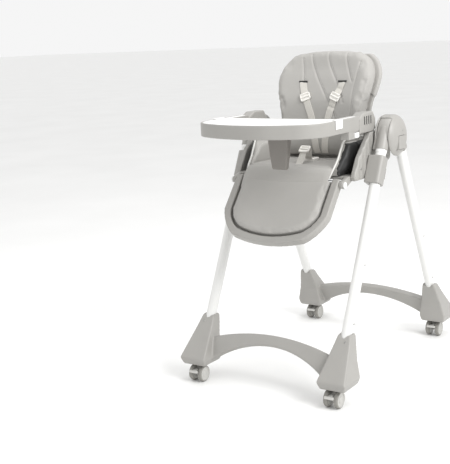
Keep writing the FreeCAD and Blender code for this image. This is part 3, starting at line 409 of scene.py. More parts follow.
def spun(name, profile, axis_point, material, axis="X", segments=64, angle=35):
    """A profile of (along the axis, radius) turned round an axis through a point."""
    verts, faces = [], []
    for along, radius in profile:
        for i in range(segments):
            turn = 2 * math.pi * i / segments
            u, v = radius * math.cos(turn), radius * math.sin(turn)
            local = Vector((along, u, v)) if axis == "X" else Vector((u, v, along))
            verts.append(Vector(axis_point) + local)
    for level in range(len(profile) - 1):
        for i in range(segments):
            j = (i + 1) % segments
            low, high = level * segments, (level + 1) * segments
            faces.append((low + i, low + j, high + j, high + i))
    faces.append(tuple(range(segments - 1, -1, -1)))
    faces.append(tuple(range((len(profile) - 1) * segments, len(profile) * segments)))
    obj = make_object(name, verts, faces, material)
    recalculate(obj)
    return smooth_shade(obj, angle)


def recalculate(obj):
    work = bmesh.new()
    work.from_mesh(obj.data)
    bmesh.ops.remove_doubles(work, verts=work.verts, dist=1e-6)
    bmesh.ops.recalc_face_normals(work, faces=work.faces)
    work.to_mesh(obj.data)
    work.free()


def joined(name, objects):
    """Several finished objects as one mesh."""
    base = objects[0]
    work = bmesh.new()
    materials = []
    for obj in objects:
        shift = {}
        for index, material in enumerate(obj.data.materials):
            if material not in materials:
                materials.append(material)
            shift[index] = materials.index(material)
        part = bmesh.new()
        part.from_mesh(obj.data)
        for face in part.faces:
            face.material_index = shift.get(face.material_index, 0)
        flat = bpy.data.meshes.new("join")
        part.to_mesh(flat)
        part.free()
        work.from_mesh(flat)
        bpy.data.meshes.remove(flat)
    mesh = bpy.data.meshes.new(name)
    work.to_mesh(mesh)
    work.free()
    for material in materials:
        mesh.materials.append(material)
    for obj in objects[1:]:
        bpy.data.objects.remove(obj)
    base.data = mesh
    base.name = name
    mesh.name = name
    return base


def done(obj, body, nodes=()):
    """Hand a finished piece to the frame: its body and the nodes it stands for."""
    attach(obj, body)
    if nodes:
        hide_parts(*nodes)
    return obj


# Repeated small parts by geometry nodes

def scatter_tree(name, make_item):
    """A tree that puts one small item on every point of a mesh, turned to the point's normal."""
    tree = bpy.data.node_groups.new(name, "GeometryNodeTree")
    tree.interface.new_socket("Geometry", in_out="INPUT", socket_type="NodeSocketGeometry")
    tree.interface.new_socket("Size", in_out="INPUT", socket_type="NodeSocketFloat")
    tree.interface.new_socket("Material", in_out="INPUT", socket_type="NodeSocketMaterial")
    tree.interface.new_socket("Geometry", in_out="OUTPUT", socket_type="NodeSocketGeometry")
    source = add(tree, "NodeGroupInput")
    item = make_item(tree, source.outputs["Size"])
    normal = add(tree, "GeometryNodeInputNamedAttribute", {"data_type": "FLOAT_VECTOR", "Name": "facing"})
    turn = add(tree, "FunctionNodeAlignRotationToVector", {"axis": "Z"}, {"Vector": normal.outputs[0]})
    along = add(tree, "GeometryNodeInputNamedAttribute", {"data_type": "FLOAT_VECTOR", "Name": "along"})
    turned = add(tree, "FunctionNodeAlignRotationToVector", {"axis": "X", "pivot_axis": "Z"},
                 {"Vector": along.outputs[0], "Rotation": turn.outputs[0]})
    placed = add(tree, "GeometryNodeInstanceOnPoints", links={
        "Points": source.outputs["Geometry"], "Instance": item, "Rotation": turned.outputs[0]})
    real = add(tree, "GeometryNodeRealizeInstances", links={"Geometry": placed.outputs[0]})
    painted = add(tree, "GeometryNodeSetMaterial", links={
        "Geometry": real.outputs[0], "Material": source.outputs["Material"]})
    result = add(tree, "NodeGroupOutput")
    tree.links.new(painted.outputs[0], result.inputs["Geometry"])
    return tree


def screw_item(tree, size):
    """A low pan head with a raised bar across its top."""
    head = add(tree, "GeometryNodeMeshCone", {"Vertices": 20, "Side Segments": 1})
    tree.links.new(size, head.inputs["Radius Bottom"])
    top = add(tree, "ShaderNodeMath", {"operation": "MULTIPLY", 1: 0.72}, {0: size})
    tree.links.new(top.outputs[0], head.inputs["Radius Top"])
    rise = add(tree, "ShaderNodeMath", {"operation": "MULTIPLY", 1: 0.4}, {0: size})
    tree.links.new(rise.outputs[0], head.inputs["Depth"])
    bar = add(tree, "GeometryNodeMeshCube")
    wide = add(tree, "ShaderNodeCombineXYZ")
    tree.links.new(size, wide.inputs[0])
    thin = add(tree, "ShaderNodeMath", {"operation": "MULTIPLY", 1: 0.22}, {0: size})
    tree.links.new(thin.outputs[0], wide.inputs[1])
    tree.links.new(rise.outputs[0], wide.inputs[2])
    tree.links.new(wide.outputs[0], bar.inputs["Size"])
    lift = add(tree, "ShaderNodeCombineXYZ")
    high = add(tree, "ShaderNodeMath", {"operation": "MULTIPLY", 1: 0.24}, {0: size})
    tree.links.new(high.outputs[0], lift.inputs[2])
    moved = add(tree, "GeometryNodeTransform",
                links={"Geometry": bar.outputs[0], "Translation": lift.outputs[0]})
    both = add(tree, "GeometryNodeJoinGeometry")
    tree.links.new(head.outputs["Mesh"], both.inputs[0])
    tree.links.new(moved.outputs[0], both.inputs[0])
    return both.outputs[0]


def stitch_item(tree, size):
    """One raised thread, a short rounded bar along its own X."""
    bar = add(tree, "GeometryNodeMeshUVSphere", {"Segments": 8, "Rings": 5})
    tree.links.new(size, bar.inputs["Radius"])
    flat = add(tree, "GeometryNodeTransform", {"Scale": (1.0, 0.32, 0.30)}, {"Geometry": bar.outputs["Mesh"]})
    return flat.outputs[0]


ITEMS = {"screw": screw_item, "stitch": stitch_item}


def scattered(name, item, places, size, material):
    """Items at (point, facing, along) places, made by geometry nodes and turned into a plain mesh."""
    mesh = bpy.data.meshes.new(name)
    mesh.from_pydata([tuple(p) for p, _, _ in places], [], [])
    for label, column in (("facing", 1), ("along", 2)):
        layer = mesh.attributes.new(label, "FLOAT_VECTOR", "POINT")
        layer.data.foreach_set("vector", [c for place in places for c in place[column]])
    obj = bpy.data.objects.new(name, mesh)
    bpy.context.scene.collection.objects.link(obj)
    tree = bpy.data.node_groups.get("scatter_" + item) or scatter_tree("scatter_" + item, ITEMS[item])
    step = obj.modifiers.new("scatter", "NODES")
    step.node_group = tree
    for entry in tree.interface.items_tree:
        if entry.in_out == "INPUT" and entry.name == "Size":
            step[entry.identifier] = size
        if entry.in_out == "INPUT" and entry.name == "Material":
            step[entry.identifier] = material
    settle(obj)
    obj.data.materials.clear()
    obj.data.materials.append(material)
    return smooth_shade(obj, 30)


# Padding, seams and straps

def at(x, y, z):
    """A point from millimetres, with y counted from the plane of the leg pivots."""
    return Vector((x * MM, PIVOT.y + y * MM, z * MM))


def puffed(obj, flat_side=None, swell=None, pressure=4.0):
    """Swell a pad as filled cloth, hold it flat where it is backed, and refine it."""
    material = obj.data.materials[0]
    remesh(obj, sizes().pad_voxel)
    limit = sizes().pad_swell if swell is None else swell
    start = [(v.co.copy(), v.normal.copy()) for v in obj.data.vertices]
    cloth = obj.modifiers.new("swell", "CLOTH")
    cloth.settings.use_pressure = True
    cloth.settings.uniform_pressure_force = pressure
    cloth.settings.effector_weights.gravity = 0
    for number in range(1, 21):
        bpy.context.scene.frame_set(number)
    settle(obj)
    bpy.context.scene.frame_set(1)
    for vertex, (place, normal) in zip(obj.data.vertices, start):
        move = vertex.co - place
        if flat_side is not None and normal.dot(flat_side) > 0.6:
            move *= 0.1
        vertex.co = place + move * min(1, limit / max(move.length, 1e-9))
    relax(obj, 4)
    step = obj.modifiers.new("refine", "SUBSURF")
    step.levels = step.render_levels = 1
    settle(obj)
    obj.data.materials.clear()
    obj.data.materials.append(material)
    return smooth_shade(obj, 80)


def from_line(points, line):
    """Distance of each 2-D point from an open polyline."""
    best = np.full(len(points), 1e9)
    for start, end in zip(line[:-1], line[1:]):
        a, b = np.array(start), np.array(end)
        along = np.clip(((points - a) @ (b - a)) / ((b - a) @ (b - a)), 0, 1)
        best = np.minimum(best, np.linalg.norm(points - a - along[:, None] * (b - a), axis=1))
    return best


def curved(points, steps=10):
    """A smooth line through a few given points."""
    ends = [points[0]] + list(points) + [points[-1]]
    line = []
    for p0, p1, p2, p3 in zip(ends, ends[1:], ends[2:], ends[3:]):
        p0, p1, p2, p3 = (np.array(p, dtype=float) for p in (p0, p1, p2, p3))
        for t in np.linspace(0, 1, steps, endpoint=False):
            line.append(0.5 * (2 * p1 + (p2 - p0) * t + (2 * p0 - 5 * p1 + 4 * p2 - p3) * t ** 2
                               + (3 * p1 - p0 - 3 * p2 + p3) * t ** 3))
    line.append(np.array(points[-1], dtype=float))
    return line


def sew(obj, lines, axes, facing, deep=None, wide=0.0038, limit=0.2):
    """Pull narrow channels into a pad along lines that are drawn in two of its axes."""
    mesh = obj.data
    count = len(mesh.vertices)
    places, normals = np.empty(count * 3), np.empty(count * 3)
    mesh.vertices.foreach_get("co", places)
    mesh.vertices.foreach_get("normal", normals)
    places, normals = places.reshape(-1, 3), normals.reshape(-1, 3)
    front = np.clip((normals @ np.array(facing) - limit) / 0.3, 0, 1)
    deep = sizes().seam_deep if deep is None else deep
    pull = np.zeros(count)
    for line in lines:
        pull = np.maximum(pull, np.exp(-(from_line(places[:, axes], line) / wide) ** 2))
    places -= normals * (pull * front * deep)[:, None]
    mesh.vertices.foreach_set("co", places.ravel())
    mesh.update()


def surface_of(*objects):
    """One search tree over the surfaces of several objects."""
    verts, faces = [], []
    for obj in objects:
        shift = len(verts)
        verts += [v.co.copy() for v in obj.data.vertices]
        faces += [tuple(shift + i for i in f.vertices) for f in obj.data.polygons]
    return BVHTree.FromPolygons(verts, faces)


def dropped(tree, points, direction, proud):
    """Points thrown on a surface along a direction, held a little proud of it: (place, normal) pairs."""
    landed = []
    for point in points:
        place, normal, _, _ = tree.ray_cast(Vector(point), Vector(direction))
        if place is None:
            continue
        if normal.dot(Vector(direction)) > 0:
            normal = -normal
        landed.append((place + normal * proud, normal))
    return landed


def stitched(name, landed, material, length=0.0016):
    """Threads spaced along a landed line."""
    places = []
    run = 0.0
    for (a, normal), (b, _) in zip(landed[:-1], landed[1:]):
        run += (b - a).length
        if run >= sizes().stitch_step:
            places.append((a, normal, (b - a).normalized()))
            run = 0.0
    return scattered(name, "stitch", places, length, material)


def swept(name, points, section, material, ups=None, closed=False, weave=False):
    """A closed section of (across, up) pairs carried along points; ups gives the upward side."""
    verts, faces, spans = [], [], []
    count = len(section)
    run = 0.0
    up = None
    for index, point in enumerate(points):
        point = Vector(point)
        before = Vector(points[index - 1]) if index or closed else point
        after = Vector(points[(index + 1) % len(points)]) if index + 1 < len(points) or closed else point
        ahead = (after - before).normalized()
        if ups is not None:
            up = Vector(ups[index])
        elif up is None:
            up = Vector((0, 0, 1)) if abs(ahead.z) < 0.9 else Vector((1, 0, 0))
        up = (up - ahead * up.dot(ahead)).normalized()
        across = ahead.cross(up)
        run += (point - before).length if index else 0.0
        for u, v in section:
            verts.append(point + across * u + up * v)
            spans.append((u, run))
    rings = len(points)
    for ring in range(rings if closed else rings - 1):
        for i in range(count):
            j = (i + 1) % count
            low, high = ring * count, ((ring + 1) % rings) * count
            faces.append((low + j, low + i, high + i, high + j))
    if not closed:
        faces.append(tuple(range(count)))
        faces.append(tuple(range((rings - 1) * count + count - 1, (rings - 1) * count - 1, -1)))
    obj = make_object(name, verts, faces, material)
    if weave:
        layer = obj.data.uv_layers.new(name="weave")
        for loop in obj.data.loops:
            layer.data[loop.index].uv = spans[loop.vertex_index]
    recalculate(obj)
    return smooth_shade(obj, 40)


def round_section(radius, sides=10):
    return [(radius * math.cos(2 * math.pi * i / sides), radius * math.sin(2 * math.pi * i / sides))
            for i in range(sides)]


def strap_section(width, thick=0.0022):
    """Webbing: flat, with rounded woven edges."""
    half, low, high = width / 2, thick * 0.1, thick
    return [(-half, (low + high) / 2), (-half + 0.0008, low), (half - 0.0008, low),
            (half, (low + high) / 2), (half - 0.0008, high), (-half + 0.0008, high)]


def block(name, low, high, material, radius=0.0015, turn=None):
    """A small moulding with rounded edges, for the black painted shade inside a slot or a raised pad."""
    work = bmesh.new()
    bmesh.ops.create_cube(work, size=1)
    low, high = Vector(low), Vector(high)
    for vertex in work.verts:
        vertex.co = Vector(((vertex.co.x + 0.5) * (high.x - low.x) + low.x,
                            (vertex.co.y + 0.5) * (high.y - low.y) + low.y,
                            (vertex.co.z + 0.5) * (high.z - low.z) + low.z))
    bmesh.ops.bevel(work, geom=work.edges[:], offset=radius, segments=3, affect="EDGES", profile=0.5)
    if turn is not None:
        bmesh.ops.transform(work, matrix=turn, verts=work.verts)
    mesh = bpy.data.meshes.new(name)
    work.to_mesh(mesh)
    work.free()
    mesh.materials.append(material)
    obj = bpy.data.objects.new(name, mesh)
    bpy.context.scene.collection.objects.link(obj)
    return smooth_shade(obj, 40)


def turned(axis, angle, point):
    """A turn by degrees round an axis through a point."""
    return Matrix.Translation(point) @ Matrix.Rotation(math.radians(angle), 4,
                                                       axis) @ Matrix.Translation(-point)


# Leg frames

LEG_LEAN = math.radians(26)


def leg_point(end, height):
    """Middle of a leg tube at a height in millimetres, as y from the pivot plane."""
    return end * (74 + (732 - height) * math.tan(LEG_LEAN))


def make_legs():
    coat = powder_coat("powder_coated_steel_white", colours().powder)
    steel = brushed_steel("zinc_plated_steel")
    ring_stuff = white_gloss()
    for end, end_name in ENDS:
        rivets = []
        for side, side_name in SIDES:
            node = f"{end_name}_leg_{side_name}"
            tube = crisp(node, f"{end_name}_tube_{side_name}", coat, 0.0006, 2)
            done(tube, f"{end_name}_frame", [node])
            low, high, middle = spot(node)
            radius = (high.x - low.x) / 2
            along = Vector((0, -end * math.sin(LEG_LEAN), math.cos(LEG_LEAN)))
            for height in (236, 404):
                place = at(0, leg_point(end, height), height)
                place.x = middle.x
                rivets.append((place + Vector((side, 0, 0)) * radius, Vector((side, 0, 0)), along))
            if end < 0:
                start, stop = (at(0, leg_point(end, z), z) for z in (733, 747))
                start.x = stop.x = middle.x
                collar = swept(f"tube_collar_{side_name}", [start, stop], round_section(radius + 0.0011, 48),
                               ring_stuff)
                done(collar, "front_frame")
        screws = scattered(f"{end_name}_tube_rivets", "screw", rivets, 0.0034, steel)
        done(screws, f"{end_name}_frame")


def make_bases():
    grey = plastic()
    steel = brushed_steel("zinc_plated_steel")
    for end, end_name in ENDS:
        base = moulded(f"{end_name}_base", f"{end_name}_arch_base", grey, 0.0024, 14)
        done(smooth_shade(base, 60), f"{end_name}_frame", [f"{end_name}_base"])
        tree = surface_of(base)
        starts = [at(side * 214, leg_point(end, 150) + end * 90, 150) for side, _ in SIDES]
        starts += [at(side * 262, leg_point(end, 190) + end * 90, 190) for side, _ in SIDES]
        landed = dropped(tree, starts, (0, -end, 0), 0.0002)
        screws = scattered(f"{end_name}_base_screws", "screw",
                           [(p, n, Vector((1, 0, 0))) for p, n in landed], 0.0036, steel)
        done(screws, f"{end_name}_frame")


def wheel(name, middle, side, grey, tread):
    """One castor disc: rounded tread, raised rim, sunken web with a hub boss."""
    half = 0.5 * (27 - 0.5)
    profile = [(0, 4), (0, 21), (0.8, 24.2), (2.4, 26.2), (4.6, 27), (11.6, 27), (13.8, 26.1), (15.0, 24.4),
               (15.4, 22.6), (15.2, 21.4), (14.2, 20.9), (12.6, 20.4), (12.0, 19), (12.3, half), (12.6, 10.6),
               (14.2, 9.6), (15.0, 8.6), (15.2, 7), (14.4, 6.2), (14.2, 3.4), (15.0, 3.0), (15.0, 0.4)]
    flipped = [(side * u * MM, v * MM) for u, v in profile]
    disc = spun(name, flipped, middle, grey, segments=56)
    disc.data.materials.append(tread)
    for face in disc.data.polygons:
        reach = (face.center - Vector((face.center.x, middle[1], middle[2]))).length
        face.material_index = 1 if reach > 22.4 * MM else 0
    return disc


def make_castors():
    grey = moulded_abs("moulded_nylon_light_grey", colours().wheel, 0.38)
    tread = moulded_abs("thermoplastic_rubber_grey", colours().tyre, 0.6, 0.2)
    dark = plastic()
    for _, end_name in ENDS:
        for _, side_name in SIDES:
            tag = f"{end_name}_{side_name}"
            low, high, middle = spot(f"castor_wheels_{tag}")
            body_low, body_high, _ = spot(f"castor_body_{tag}")
            discs = [wheel(f"disc_{tag}_a", (body_high.x + 0.0005, middle.y, middle.z), 1, grey, tread),
                     wheel(f"disc_{tag}_b", (body_low.x - 0.0005, middle.y, middle.z), -1, grey, tread)]
            axle = spun(f"axle_{tag}", [(low.x - middle.x + 0.004, 0.003),
                                        (high.x - middle.x - 0.004, 0.003)],
                        middle, grey, segments=20)
            done(joined(f"castor_discs_{tag}", discs + [axle]), f"castor_wheels_{tag}",
                 [f"castor_wheels_{tag}"])
            fork = moulded(f"castor_body_{tag}", f"castor_fork_{tag}", dark, 0.0012, 5)
            done(smooth_shade(fork, 60), f"castor_body_{tag}", [f"castor_body_{tag}"])
            pedal = crisp(f"castor_brake_{tag}", f"brake_pedal_{tag}", grey, 0.0005, 2)
            done(pedal, f"castor_brake_{tag}", [f"castor_brake_{tag}"])


HUB_MIDDLE = (0, 782)
BUTTON_MIDDLE = (-8, 760)
BUTTON_HALF = (25.5, 24.0)
POCKET_MOUTH = 294.5
PIN_ROOT = 232.0


def dome(obj, side, shoulder=262, depth=42, wall=4.5, stand_back=1.3):
    """Draw the outer half of a hub in to an egg-shaped dome that closes round its push button."""
    tip = Vector((-4, 768))
    middle, half = Vector(BUTTON_MIDDLE), Vector(BUTTON_HALF)
    for vertex in obj.data.vertices:
        along = (side * vertex.co.x / MM - shoulder) / depth
        if along <= 0:
            continue
        here = Vector(((vertex.co.y - PIVOT.y) / MM, vertex.co.z / MM))
        if all(abs((here - middle)[i]) < half[i] for i in (0, 1)):
            # Below its mouth the button's pocket stands back, so that a pressed button clears it.
            if side * vertex.co.x / MM < POCKET_MOUTH:
                for i in (0, 1):
                    if abs((here - middle)[i]) > half[i] - wall:
                        here[i] += math.copysign(stand_back, (here - middle)[i])
                vertex.co.y, vertex.co.z = PIVOT.y + here.x * MM, here.y * MM
            continue
        arm = here - tip
        crossing = min((math.copysign(half[i], arm[i]) + (middle - tip)[i]) / arm[i]
                       for i in (0, 1) if abs(arm[i]) > 1e-6)
        here = tip + arm * max(math.sqrt(1 - min(along, 0.98) ** 2), min(1.0, crossing))
        vertex.co.y, vertex.co.z = PIVOT.y + here.x * MM, here.y * MM
    obj.data.update()


def thinned_pin(socket, side, reach=0.0092, share=0.66):
    """Thin the leg pivot pin inside its bore, where the remeshed skins would touch as the legs fold."""
    for vertex in socket.data.vertices:
        from_pin = Vector((vertex.co.y - PIVOT.y, vertex.co.z - PIVOT.z))
        if side * vertex.co.x / MM > PIN_ROOT and from_pin.length < reach:
            vertex.co.y, vertex.co.z = PIVOT.y + from_pin.x * share, PIVOT.z + from_pin.y * share


def narrowed(button, side, behind=291, less=0.0024):
    """Shorten and taper a fold button's hidden end, so that it clears its pocket when pressed."""
    centre = at(0, *BUTTON_MIDDLE)
    for vertex in button.data.vertices:
        if side * vertex.co.x / MM < behind:
            vertex.co.x += side * less
            vertex.co.y -= math.copysign(less * 0.6, vertex.co.y - centre.y)
            vertex.co.z -= math.copysign(less * 0.6, vertex.co.z - centre.z)


def hub_core(side, side_name, material):
    """Curved wall of the front hub that shows behind the window the sleeve swings through."""
    low, high = (span_x * side for span_x in (0.2345, 0.2722))
    points, ups = [], []
    for turn in np.linspace(math.radians(84), math.radians(186), 30):
        away = Vector((0, math.cos(turn), math.sin(turn)))
        points.append(at((low + high) / 2 / MM, *HUB_MIDDLE) + away * 0.0600)
        ups.append(away)
    half = abs(high - low) / 2
    return swept(f"front_hub_core_{side_name}", points, [(-half, 0), (half, 0), (half, 0.0018),
                                                         (half - 0.001, 0.0024), (-half + 0.001, 0.0024),
                                                         (-half, 0.0018)], material, ups=ups)


def make_hubs():
    grey = plastic()
    steel = brushed_steel("zinc_plated_steel")
    for side, side_name in SIDES:
        socket = moulded(f"hub_socket_{side_name}", f"front_hub_{side_name}", grey, 0.0016, 6)
        thinned_pin(socket, side)
        done(smooth_shade(socket, 60), "front_frame", [f"hub_socket_{side_name}"])
        cover = moulded(f"hub_cover_{side_name}", f"rear_hub_{side_name}", grey, 0.0016, 8)
        dome(cover, side)
        relax(cover, 3)
        done(hub_core(side, side_name, grey), "front_frame")
        done(smooth_shade(cover, 60), "rear_frame", [f"hub_cover_{side_name}"])
        button = crisp(f"fold_button_{side_name}", f"fold_push_{side_name}", grey, 0.0008, 2)
        narrowed(button, side)
        done(button, f"fold_button_{side_name}", [f"fold_button_{side_name}"])
        tree = surface_of(cover)
        starts = [at(side * 400, y, z) for y, z in ((26, 744), (-4, 800))]
        landed = dropped(tree, starts, (-side, 0, 0), 0.0002)
        screws = scattered(f"rear_hub_screws_{side_name}", "screw",
                           [(p, n, Vector((0, 0, 1))) for p, n in landed], 0.0034, steel)
        done(screws, "rear_frame")


# Seat

FLUTE = 0.026


def make_side_panels():
    grey = plastic()
    steel = brushed_steel("zinc_plated_steel")
    for side, side_name in SIDES:
        panel = moulded(f"side_panel_{side_name}", f"side_cheek_{side_name}", grey, 0.0022, 8)
        low, high, _ = spot(f"side_panel_{side_name}")
        outer = max(abs(low.x), abs(high.x))
        for vertex in panel.data.vertices:
            if side * vertex.co.x > outer - 0.004 and vertex.co.z < high.z - 0.02:
                fade = min(1.0, (high.z - 0.02 - vertex.co.z) / 0.03)
                wave = 0.5 - 0.5 * math.cos(2 * math.pi * (vertex.co.y - low.y) / FLUTE)
                vertex.co.x -= side * 0.0022 * fade * wave
        panel.data.update()
        done(smooth_shade(panel, 60), "seat", [f"side_panel_{side_name}"])
        slider = moulded(f"slider_{side_name}", f"height_slider_{side_name}", grey, 0.0018, 7)
        done(smooth_shade(slider, 60), "seat", [f"slider_{side_name}"])
        lever = crisp(f"height_lever_{side_name}", f"height_trigger_{side_name}", dark_plastic(), 0.0007, 2)
        done(lever, f"height_lever_{side_name}", [f"height_lever_{side_name}"])
        tree = surface_of(panel)
        landed = dropped(tree, [at(side * 400, y, z) for y, z in ((-2, 690), (-150, 690), (36, 760))],
                         (-side, 0, 0), 0.0002)
        screws = scattered(f"side_cheek_screws_{side_name}", "screw",
                           [(p, n, Vector((0, 0, 1))) for p, n in landed], 0.0036, steel)
        done(screws, "seat")


def make_seat_pan():
    grey = plastic()
    pan = moulded("seat_pan", "seat_pan_shell", grey, 0.0026, 8)
    done(smooth_shade(pan, 60), "seat", ["seat_pan"])
    low, _, _ = spot("seat_pan")
    # Painted shade: a black block sits in each vent slot under the pan.
    shade_blocks = []
    for row in range(5):
        y = low.y + 0.055 + row * 0.036
        for column in range(7 - row % 2):
            x = (column - (6 - row % 2) / 2) * 0.046
            shade_blocks.append(block(f"vent_{row}_{column}", (x - 0.015, y - 0.005, low.z - 0.0006),
                                 (x + 0.015, y + 0.005, low.z + 0.0012), painted_shade_plastic(), 0.0009))
    done(joined("seat_pan_vents", shade_blocks), "seat")
    caps = crisp("footrest_caps", "footrest_pivot_caps", white_gloss(), 0.0006, 2)
    done(caps, "seat", ["footrest_caps"])


def make_seat_padding():
    """Seat cushion and its wings as one padded bucket with a pulled seam, a piping and a front roll."""
    skin = leather()
    low, high, _ = spot("seat_cushion")
    pieces = [node_copy("seat_cushion", "seat_padding", skin)]
    for side, side_name in SIDES:
        wing = node_copy(f"cushion_wing_{side_name}", f"wing_{side_name}", skin)
        for vertex in wing.data.vertices:
            if side * vertex.co.x < 0.16:
                vertex.co.x -= side * 0.004
        pieces.append(wing)
    bucket = joined("seat_padding", pieces)
    puffed(bucket, Vector((0, 0, -1)), 0.006)
    # Painted shadow: the padding's outer sides below the arm level take the black painted-shade material, for
    # the shadowed gap between padding and shell.
    bucket.data.materials.append(painted_shade_plastic())
    for face in bucket.data.polygons:
        in_shaded_gap = abs(face.center.x) > 0.163 and face.normal.x * face.center.x > 0.05 * abs(face.center.x)
        face.material_index = 1 if in_shaded_gap and face.center.z < high.z + 0.075 else 0
    seams = [curved([(side * 0.148, low.y + 0.02), (side * 0.146, -0.08), (side * 0.143, high.y - 0.03)])
             for side, _ in SIDES]
    seams.append(curved([(-0.143, low.y + 0.150), (0, low.y + 0.158), (0.143, low.y + 0.150)]))
    sew(bucket, seams, [0, 1], (0, 0, 1))
    done(bucket, "seat", ["seat_cushion", "cushion_wing_left", "cushion_wing_right"])
    for side, side_name in SIDES:
        edge = curved([at(side * 165, -20, 779), at(side * 165, -95, 781), at(side * 164, -148, 778),
                       at(side * 162, -168, 757), at(side * 160, -190, 722), at(side * 158, -211, 700),
                       at(side * 154, -222, 684), at(side * 150, -232, 668)], 8)
        piping = swept(f"seat_piping_{side_name}", edge, round_section(0.0030), leather_trim())
        done(piping, "seat")
    tree = surface_of(bucket)
    for index, line in enumerate(seams):
        for offset in (-0.0045, 0.0045):
            flat = [(x + (offset if index < 2 else 0), y + (0 if index < 2 else offset), 0.9) for x,
                    y in line]
            landed = dropped(tree, dense(flat), (0, 0, -1), 0.0002)
            if len(landed) > 3:
                thread = stitched(f"seat_stitch_{index}_{'in' if offset < 0 else 'out'}", landed,
                                  leather_trim())
                done(thread, "seat")
    make_lap()
    gusset = swept("back_gusset", [at(0, 14, 691), at(0, 19, 694), at(0, 24, 699), at(0, 29, 705),
                                   at(0, 33, 712)],
                   [(0.150 * t, -0.0045) for t in np.linspace(1, -1, 9)]
                   + [(0.150 * t, 0.0) for t in np.linspace(-1, 1, 9)], skin,
                   ups=[Vector((0, -0.6, 0.8))] * 5)
    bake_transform(gusset)
    return tree


LAP = ((-186, 697.5), (-204, 699), (-219, 696), (-232, 687), (-243, 675), (-252.6, 662.7), (-261.4, 649.7),
       (-269.2, 634.0))


def make_lap():
    """The leather that runs on over the seat's front edge and down onto the footrest pad."""
    line = [at(0, y, z) for y, z in curved(LAP, 4)]
    ups = []
    for index in range(len(line)):
        ahead = line[min(index + 1, len(line) - 1)] - line[max(index - 1, 0)]
        ups.append(Vector((1, 0, 0)).cross(ahead).normalized())
    ups = [up if up.z > 0 else -up for up in ups]
    half, thick = 0.1535, 0.0055
    section = [(half * t, 0.0) for t in np.linspace(1, -1, 15)]
    section = [(u, -thick) for u, _ in section] + [(-half - 0.002, -thick * 0.5)] + [
        (-u, -0.0014 * abs(u / half) ** 6) for u, _ in section] + [(half + 0.002, -thick * 0.5)]
    lap = swept("lap_padding", line, section, leather(), ups=ups)
    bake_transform(lap)


def leather_trim():
    return pu_leather("pu_leather_piping_pale", "D8D7D3")


def dense(points, step=0.0012):
    """An open line resampled closely."""
    line = np.array([tuple(p) for p in points])
    lengths = np.r_[0, np.cumsum(np.linalg.norm(np.diff(line, axis=0), axis=1))]
    marks = np.arange(0, lengths[-1], step)
    return [tuple(np.interp(marks, lengths, line[:, i])[k] for i in range(3)) for k in range(len(marks))]


# Backrest

QUILT = (
    ((-90, 1030), (-80, 990), (-73, 957)),
    ((-57, 1042), (-45, 1005), (-22, 965), (10, 918), (44, 868), (58, 830)),
    ((4, 1050), (14, 1012), (36, 975), (66, 930), (84, 888)),
    ((73, 1042), (85, 1000), (108, 955)),
    ((128, 1015), (124, 960), (120, 930), (119, 883), (112, 820)),
)


def hollowed(obj, facing_front=0.25):
    """Ease the kinks of a back pad's side view and dish its front between the side bolsters."""
    tree = surface_of(obj)
    low = min(v.co.z for v in obj.data.vertices) + 0.004
    high = max(v.co.z for v in obj.data.vertices) - 0.004
    heights = np.linspace(low, high, 90)
    front = []
    for z in heights:
        place, _, _, _ = tree.ray_cast(Vector((0, -0.5, z)), Vector((0, 1, 0)))
        front.append(place.y if place else front[-1])
    padded = np.pad(np.array(front), 12, mode="reflect", reflect_type="odd")
    weights = np.exp(-(np.arange(-12, 13) / 6.0) ** 2)
    eased = np.convolve(padded, weights / weights.sum(), mode="valid")
    for vertex in obj.data.vertices:
        co = vertex.co
        shift = float(np.interp(co.z, heights, eased - np.array(front)))
        co.y += shift
        if vertex.normal.y < -facing_front:
            across = min(1.0, abs(co.x) / 0.160)
            fade = min(1.0, max(0.0, (high + 0.002 - co.z) / 0.07))
            co.y += 0.022 * (1 - across ** 3) * fade * fade * (3 - 2 * fade)
    obj.data.update()


def crown(obj, lift=0.0085):
    """Raise the top of a padded back a little, as its filling does."""
    for vertex in obj.data.vertices:
        t = min(1.0, max(0.0, (vertex.co.z - 0.93) / 0.11))
        vertex.co.z += lift * t * t * (3 - 2 * t)
    obj.data.update()


def make_back_cushion():
    skin = leather()
    cushion = node_copy("back_cushion", "back_padding", skin)
    for vertex in cushion.data.vertices:
        vertex.co.x *= 0.955
    remesh(cushion, sizes().pad_voxel)
    hollowed(cushion)
    puffed(cushion, Vector((0, 1, -0.2)).normalized(), 0.007)
    crown(cushion)
    lines = [curved([(x * MM, z * MM) for x, z in line]) for line in QUILT]
    sew(cushion, lines, [0, 2], (0, -1, 0.2))
    done(cushion, "backrest", ["back_cushion"])
    tree = surface_of(cushion)
    for index, line in enumerate(lines):
        flat = [(x + 0.0042, -0.4, z) for x, z in line]
        landed = dropped(tree, dense(flat), (0, 1, 0), 0.0002)
        if len(landed) > 3:
            thread = stitched(f"back_stitch_{index}", landed, leather_trim())
            done(thread, "backrest")
    return tree


